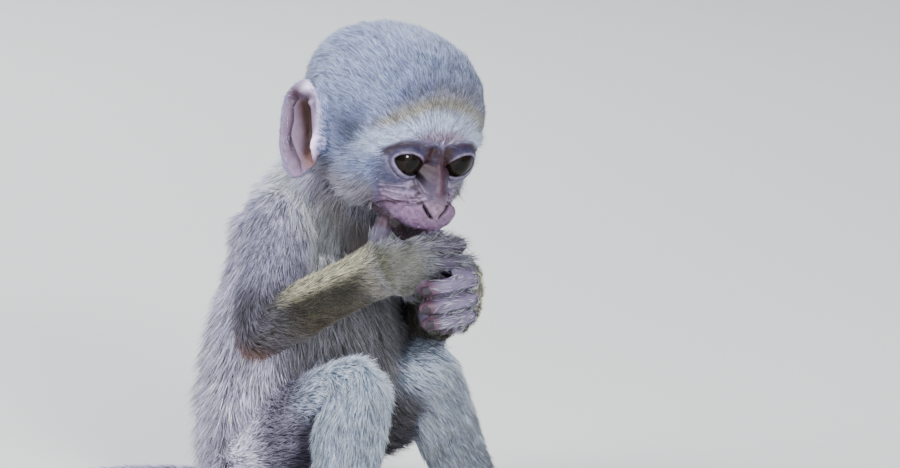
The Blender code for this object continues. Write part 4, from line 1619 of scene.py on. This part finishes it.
class VERVET_OT_tail_coat(bpy.types.Operator):
    """Grow the tail's short fur"""

    bl_idname = "vervet.tail_coat"
    bl_label = "Tail coat"

    def execute(self, context):
        tail = whole_tail(SKIN["part"])
        line = np.array(tail_line())

        def unwrap(points):
            along = to_line(points, line)[1]
            nearest = np.argmin(np.linalg.norm(points[:, None] - line[None], axis=2), axis=1)
            way = unit(np.gradient(line, axis=0))[nearest]
            across = unit(np.cross(way, [0, 0, 1.0]))
            q = points - line[nearest]
            angle = np.arctan2(q[:, 2], np.sum(q * across, axis=1))
            return np.stack([angle / (2 * math.pi), along], axis=1)

        grow("coat_tail", tail, unwrap)
        return {"FINISHED"}


# ---------------------------------------------------------------- nails


NAIL_WIDE, NAIL_LONG, NAIL_THICK = 3.0 * MM, 3.9 * MM, 0.28 * MM
NAIL_LIFT = 0.12 * MM  # how far a nail stands off the skin
NAIL_FROM = 3.5 * MM  # how far over a digit's tip the nearest skin is looked for


def add_nail(bm, place, along, over):
    """One nail: a rounded plate curved across and along, with a thickness."""
    across = along.cross(over).normalized()
    made = bmesh.ops.create_grid(bm, x_segments=8, y_segments=10, size=1.0)["verts"]
    for vertex in made:
        u, v = vertex.co.x, vertex.co.y
        u *= 1 - 0.9 * max(0.0, abs(v) - 0.3) ** 2
        rise = -0.17 * NAIL_WIDE * u * u - 0.07 * NAIL_LONG * v * v
        vertex.co = place + across * (u * NAIL_WIDE / 2) + along * (v * NAIL_LONG / 2) + over * rise
    faces = list(dict.fromkeys(face for vertex in made for face in vertex.link_faces))
    bmesh.ops.solidify(bm, geom=faces, thickness=NAIL_THICK)


def horn_finish():
    """Dark horn: smooth, faintly glossy and finely mottled."""
    material, shader = plain("nail, dark horn", Roughness=0.6, Specular_IOR_Level=0.2)
    base = add(material, "RGB")
    base.outputs[0].default_value = (*tint("nail"), 1)
    link(material, speckled(material, base.outputs[0], 0.6 * MM, 0.7, 1.4), shader.inputs["Base Color"])
    return material


class VERVET_OT_nails(bpy.types.Operator):
    """Set a curved nail on the end of every finger and toe"""

    bl_idname = "vervet.nails"
    bl_label = "Nails"

    def execute(self, context):
        surface = SKIN["surface"]
        tree = BVHTree.FromPolygons([Vector(p) for p in surface.points], surface.triangles.tolist())
        material = horn_finish()
        for node in PAWS:
            bm = bmesh.new()
            for line in digit_lines(node):
                before, joint, tip = (Vector(p) for p in line[-3:])
                along = (tip - joint).normalized()
                over = joint - (before + tip) / 2 if node in DIGITS else UP
                over = (over - along * over.dot(along)).normalized()
                place = tree.find_nearest(tip + over * NAIL_FROM)[0]
                if place is None:
                    raise RuntimeError("no skin under a nail of " + node)
                add_nail(bm, place + over * NAIL_LIFT, along, over)
            bmesh.ops.recalc_face_normals(bm, faces=bm.faces)
            mesh = mesh_from(bm, "nails")
            mesh.shade_smooth()
            show("nails_" + node, mesh, material, node[:4] + "_skin")
        return {"FINISHED"}


# ---------------------------------------------------------------- stage


CAMERA_TURN, CAMERA_RISE, CAMERA_AWAY = math.radians(-55), math.radians(10), 2.4
PICTURE_WIDE = 0.32727  # what the picture spans at the animal, in metres
PICTURE_RIGHT, PICTURE_UP = 0.05636, 0.10036  # the picture's middle from the origin, in metres
LAMPS_AIM = Vector((0, -0.02, 0.10))
LAMPS = (  # name, place towards the camera, up and to the right of the aim, size, watts and tone
    ("key", (0.85, 1.45, -1.0), 0.9, 34.0, (0.95, 0.97, 1.0)),
    ("left", (0.8, 0.35, -1.5), 1.1, 26.0, (0.94, 0.96, 1.0)),
    ("fill", (1.5, 0.25, 0.8), 1.5, 12.0, (0.92, 0.95, 1.0)),
    ("rim", (-1.1, 1.3, -0.7), 0.8, 32.0, (0.95, 0.97, 1.0)),
    ("spark", (1.06, 0.27, 0.40), 0.22, 16.0, (1.0, 1.0, 1.0)),
)


class VERVET_OT_stage(bpy.types.Operator):
    """Set the camera, a pale floor and soft studio light"""

    bl_idname = "vervet.stage"
    bl_label = "Stage"

    def execute(self, context):
        scene = context.scene
        level = math.cos(CAMERA_RISE)
        back = Vector((math.sin(CAMERA_TURN) * level, -math.cos(CAMERA_TURN) * level, math.sin(CAMERA_RISE)))
        right = Vector((math.cos(CAMERA_TURN), math.sin(CAMERA_TURN), 0))
        up = right.cross(-back)
        camera = bpy.data.cameras.new("camera")
        camera.sensor_width = 36
        camera.lens = 36 * CAMERA_AWAY / PICTURE_WIDE
        camera.clip_end = 20
        eye = linked("camera", camera)
        eye.location = right * PICTURE_RIGHT + up * PICTURE_UP + back * CAMERA_AWAY
        eye.rotation_euler = (-back).to_track_quat("-Z", "Y").to_euler()
        scene.camera = eye
        bm = bmesh.new()
        bmesh.ops.create_circle(bm, cap_ends=True, segments=64, radius=6.0)
        material, shader = plain("studio floor, matt paint", Roughness=0.9)
        shader.inputs["Base Color"].default_value = (*tint("floor"), 1)
        mesh = mesh_from(bm, "floor")
        mesh.materials.append(material)
        floor = linked("floor", mesh)
        for name, (nearer, higher, aside), size, power, tone in LAMPS:
            way = back * nearer + up * higher + right * aside
            light = bpy.data.lights.new(name, "AREA")
            light.size = size
            light.energy = power
            light.color = tone
            lamp = linked(name, light)
            lamp.location = LAMPS_AIM + way
            lamp.rotation_euler = (-way).to_track_quat("-Z", "Y").to_euler()
        world = bpy.data.worlds.new("studio")
        world.use_nodes = True
        sky = world.node_tree.nodes["Background"].inputs
        sky["Color"].default_value = (0.80, 0.86, 1.0, 1)
        sky["Strength"].default_value = 0.38
        scene.world = world
        return {"FINISHED"}


# ---------------------------------------------------------------- add-on


OPERATORS = (
    VERVET_OT_stage,
    VERVET_OT_skin,
    VERVET_OT_eyes,
    VERVET_OT_head_coat,
    VERVET_OT_body_coat,
    VERVET_OT_limb_coat,
    VERVET_OT_tail_coat,
    VERVET_OT_nails,
)


class VERVET_PT_panel(bpy.types.Panel):
    """Lists the makers of the model's pieces"""

    bl_idname = "VERVET_PT_panel"
    bl_label = "Infant vervet"
    bl_space_type = "VIEW_3D"
    bl_region_type = "UI"
    bl_category = "Vervet"

    def draw(self, context):
        for operator in OPERATORS:
            self.layout.operator(operator.bl_idname)


CLASSES = (VervetSizes, VervetColours, VervetSettings, *OPERATORS, VERVET_PT_panel)


def register():
    for kind in CLASSES:
        bpy.utils.register_class(kind)
    bpy.types.Scene.vervet = bpy.props.PointerProperty(type=VervetSettings, name="Vervet")


def unregister():
    del bpy.types.Scene.vervet
    for kind in reversed(CLASSES):
        bpy.utils.unregister_class(kind)


def make(operators):
    for operator in operators:
        getattr(bpy.ops.vervet, operator.bl_idname.split(".")[1])()


def main():
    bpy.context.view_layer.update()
    register()
    make(OPERATORS)


if __name__ == "__main__":
    main()
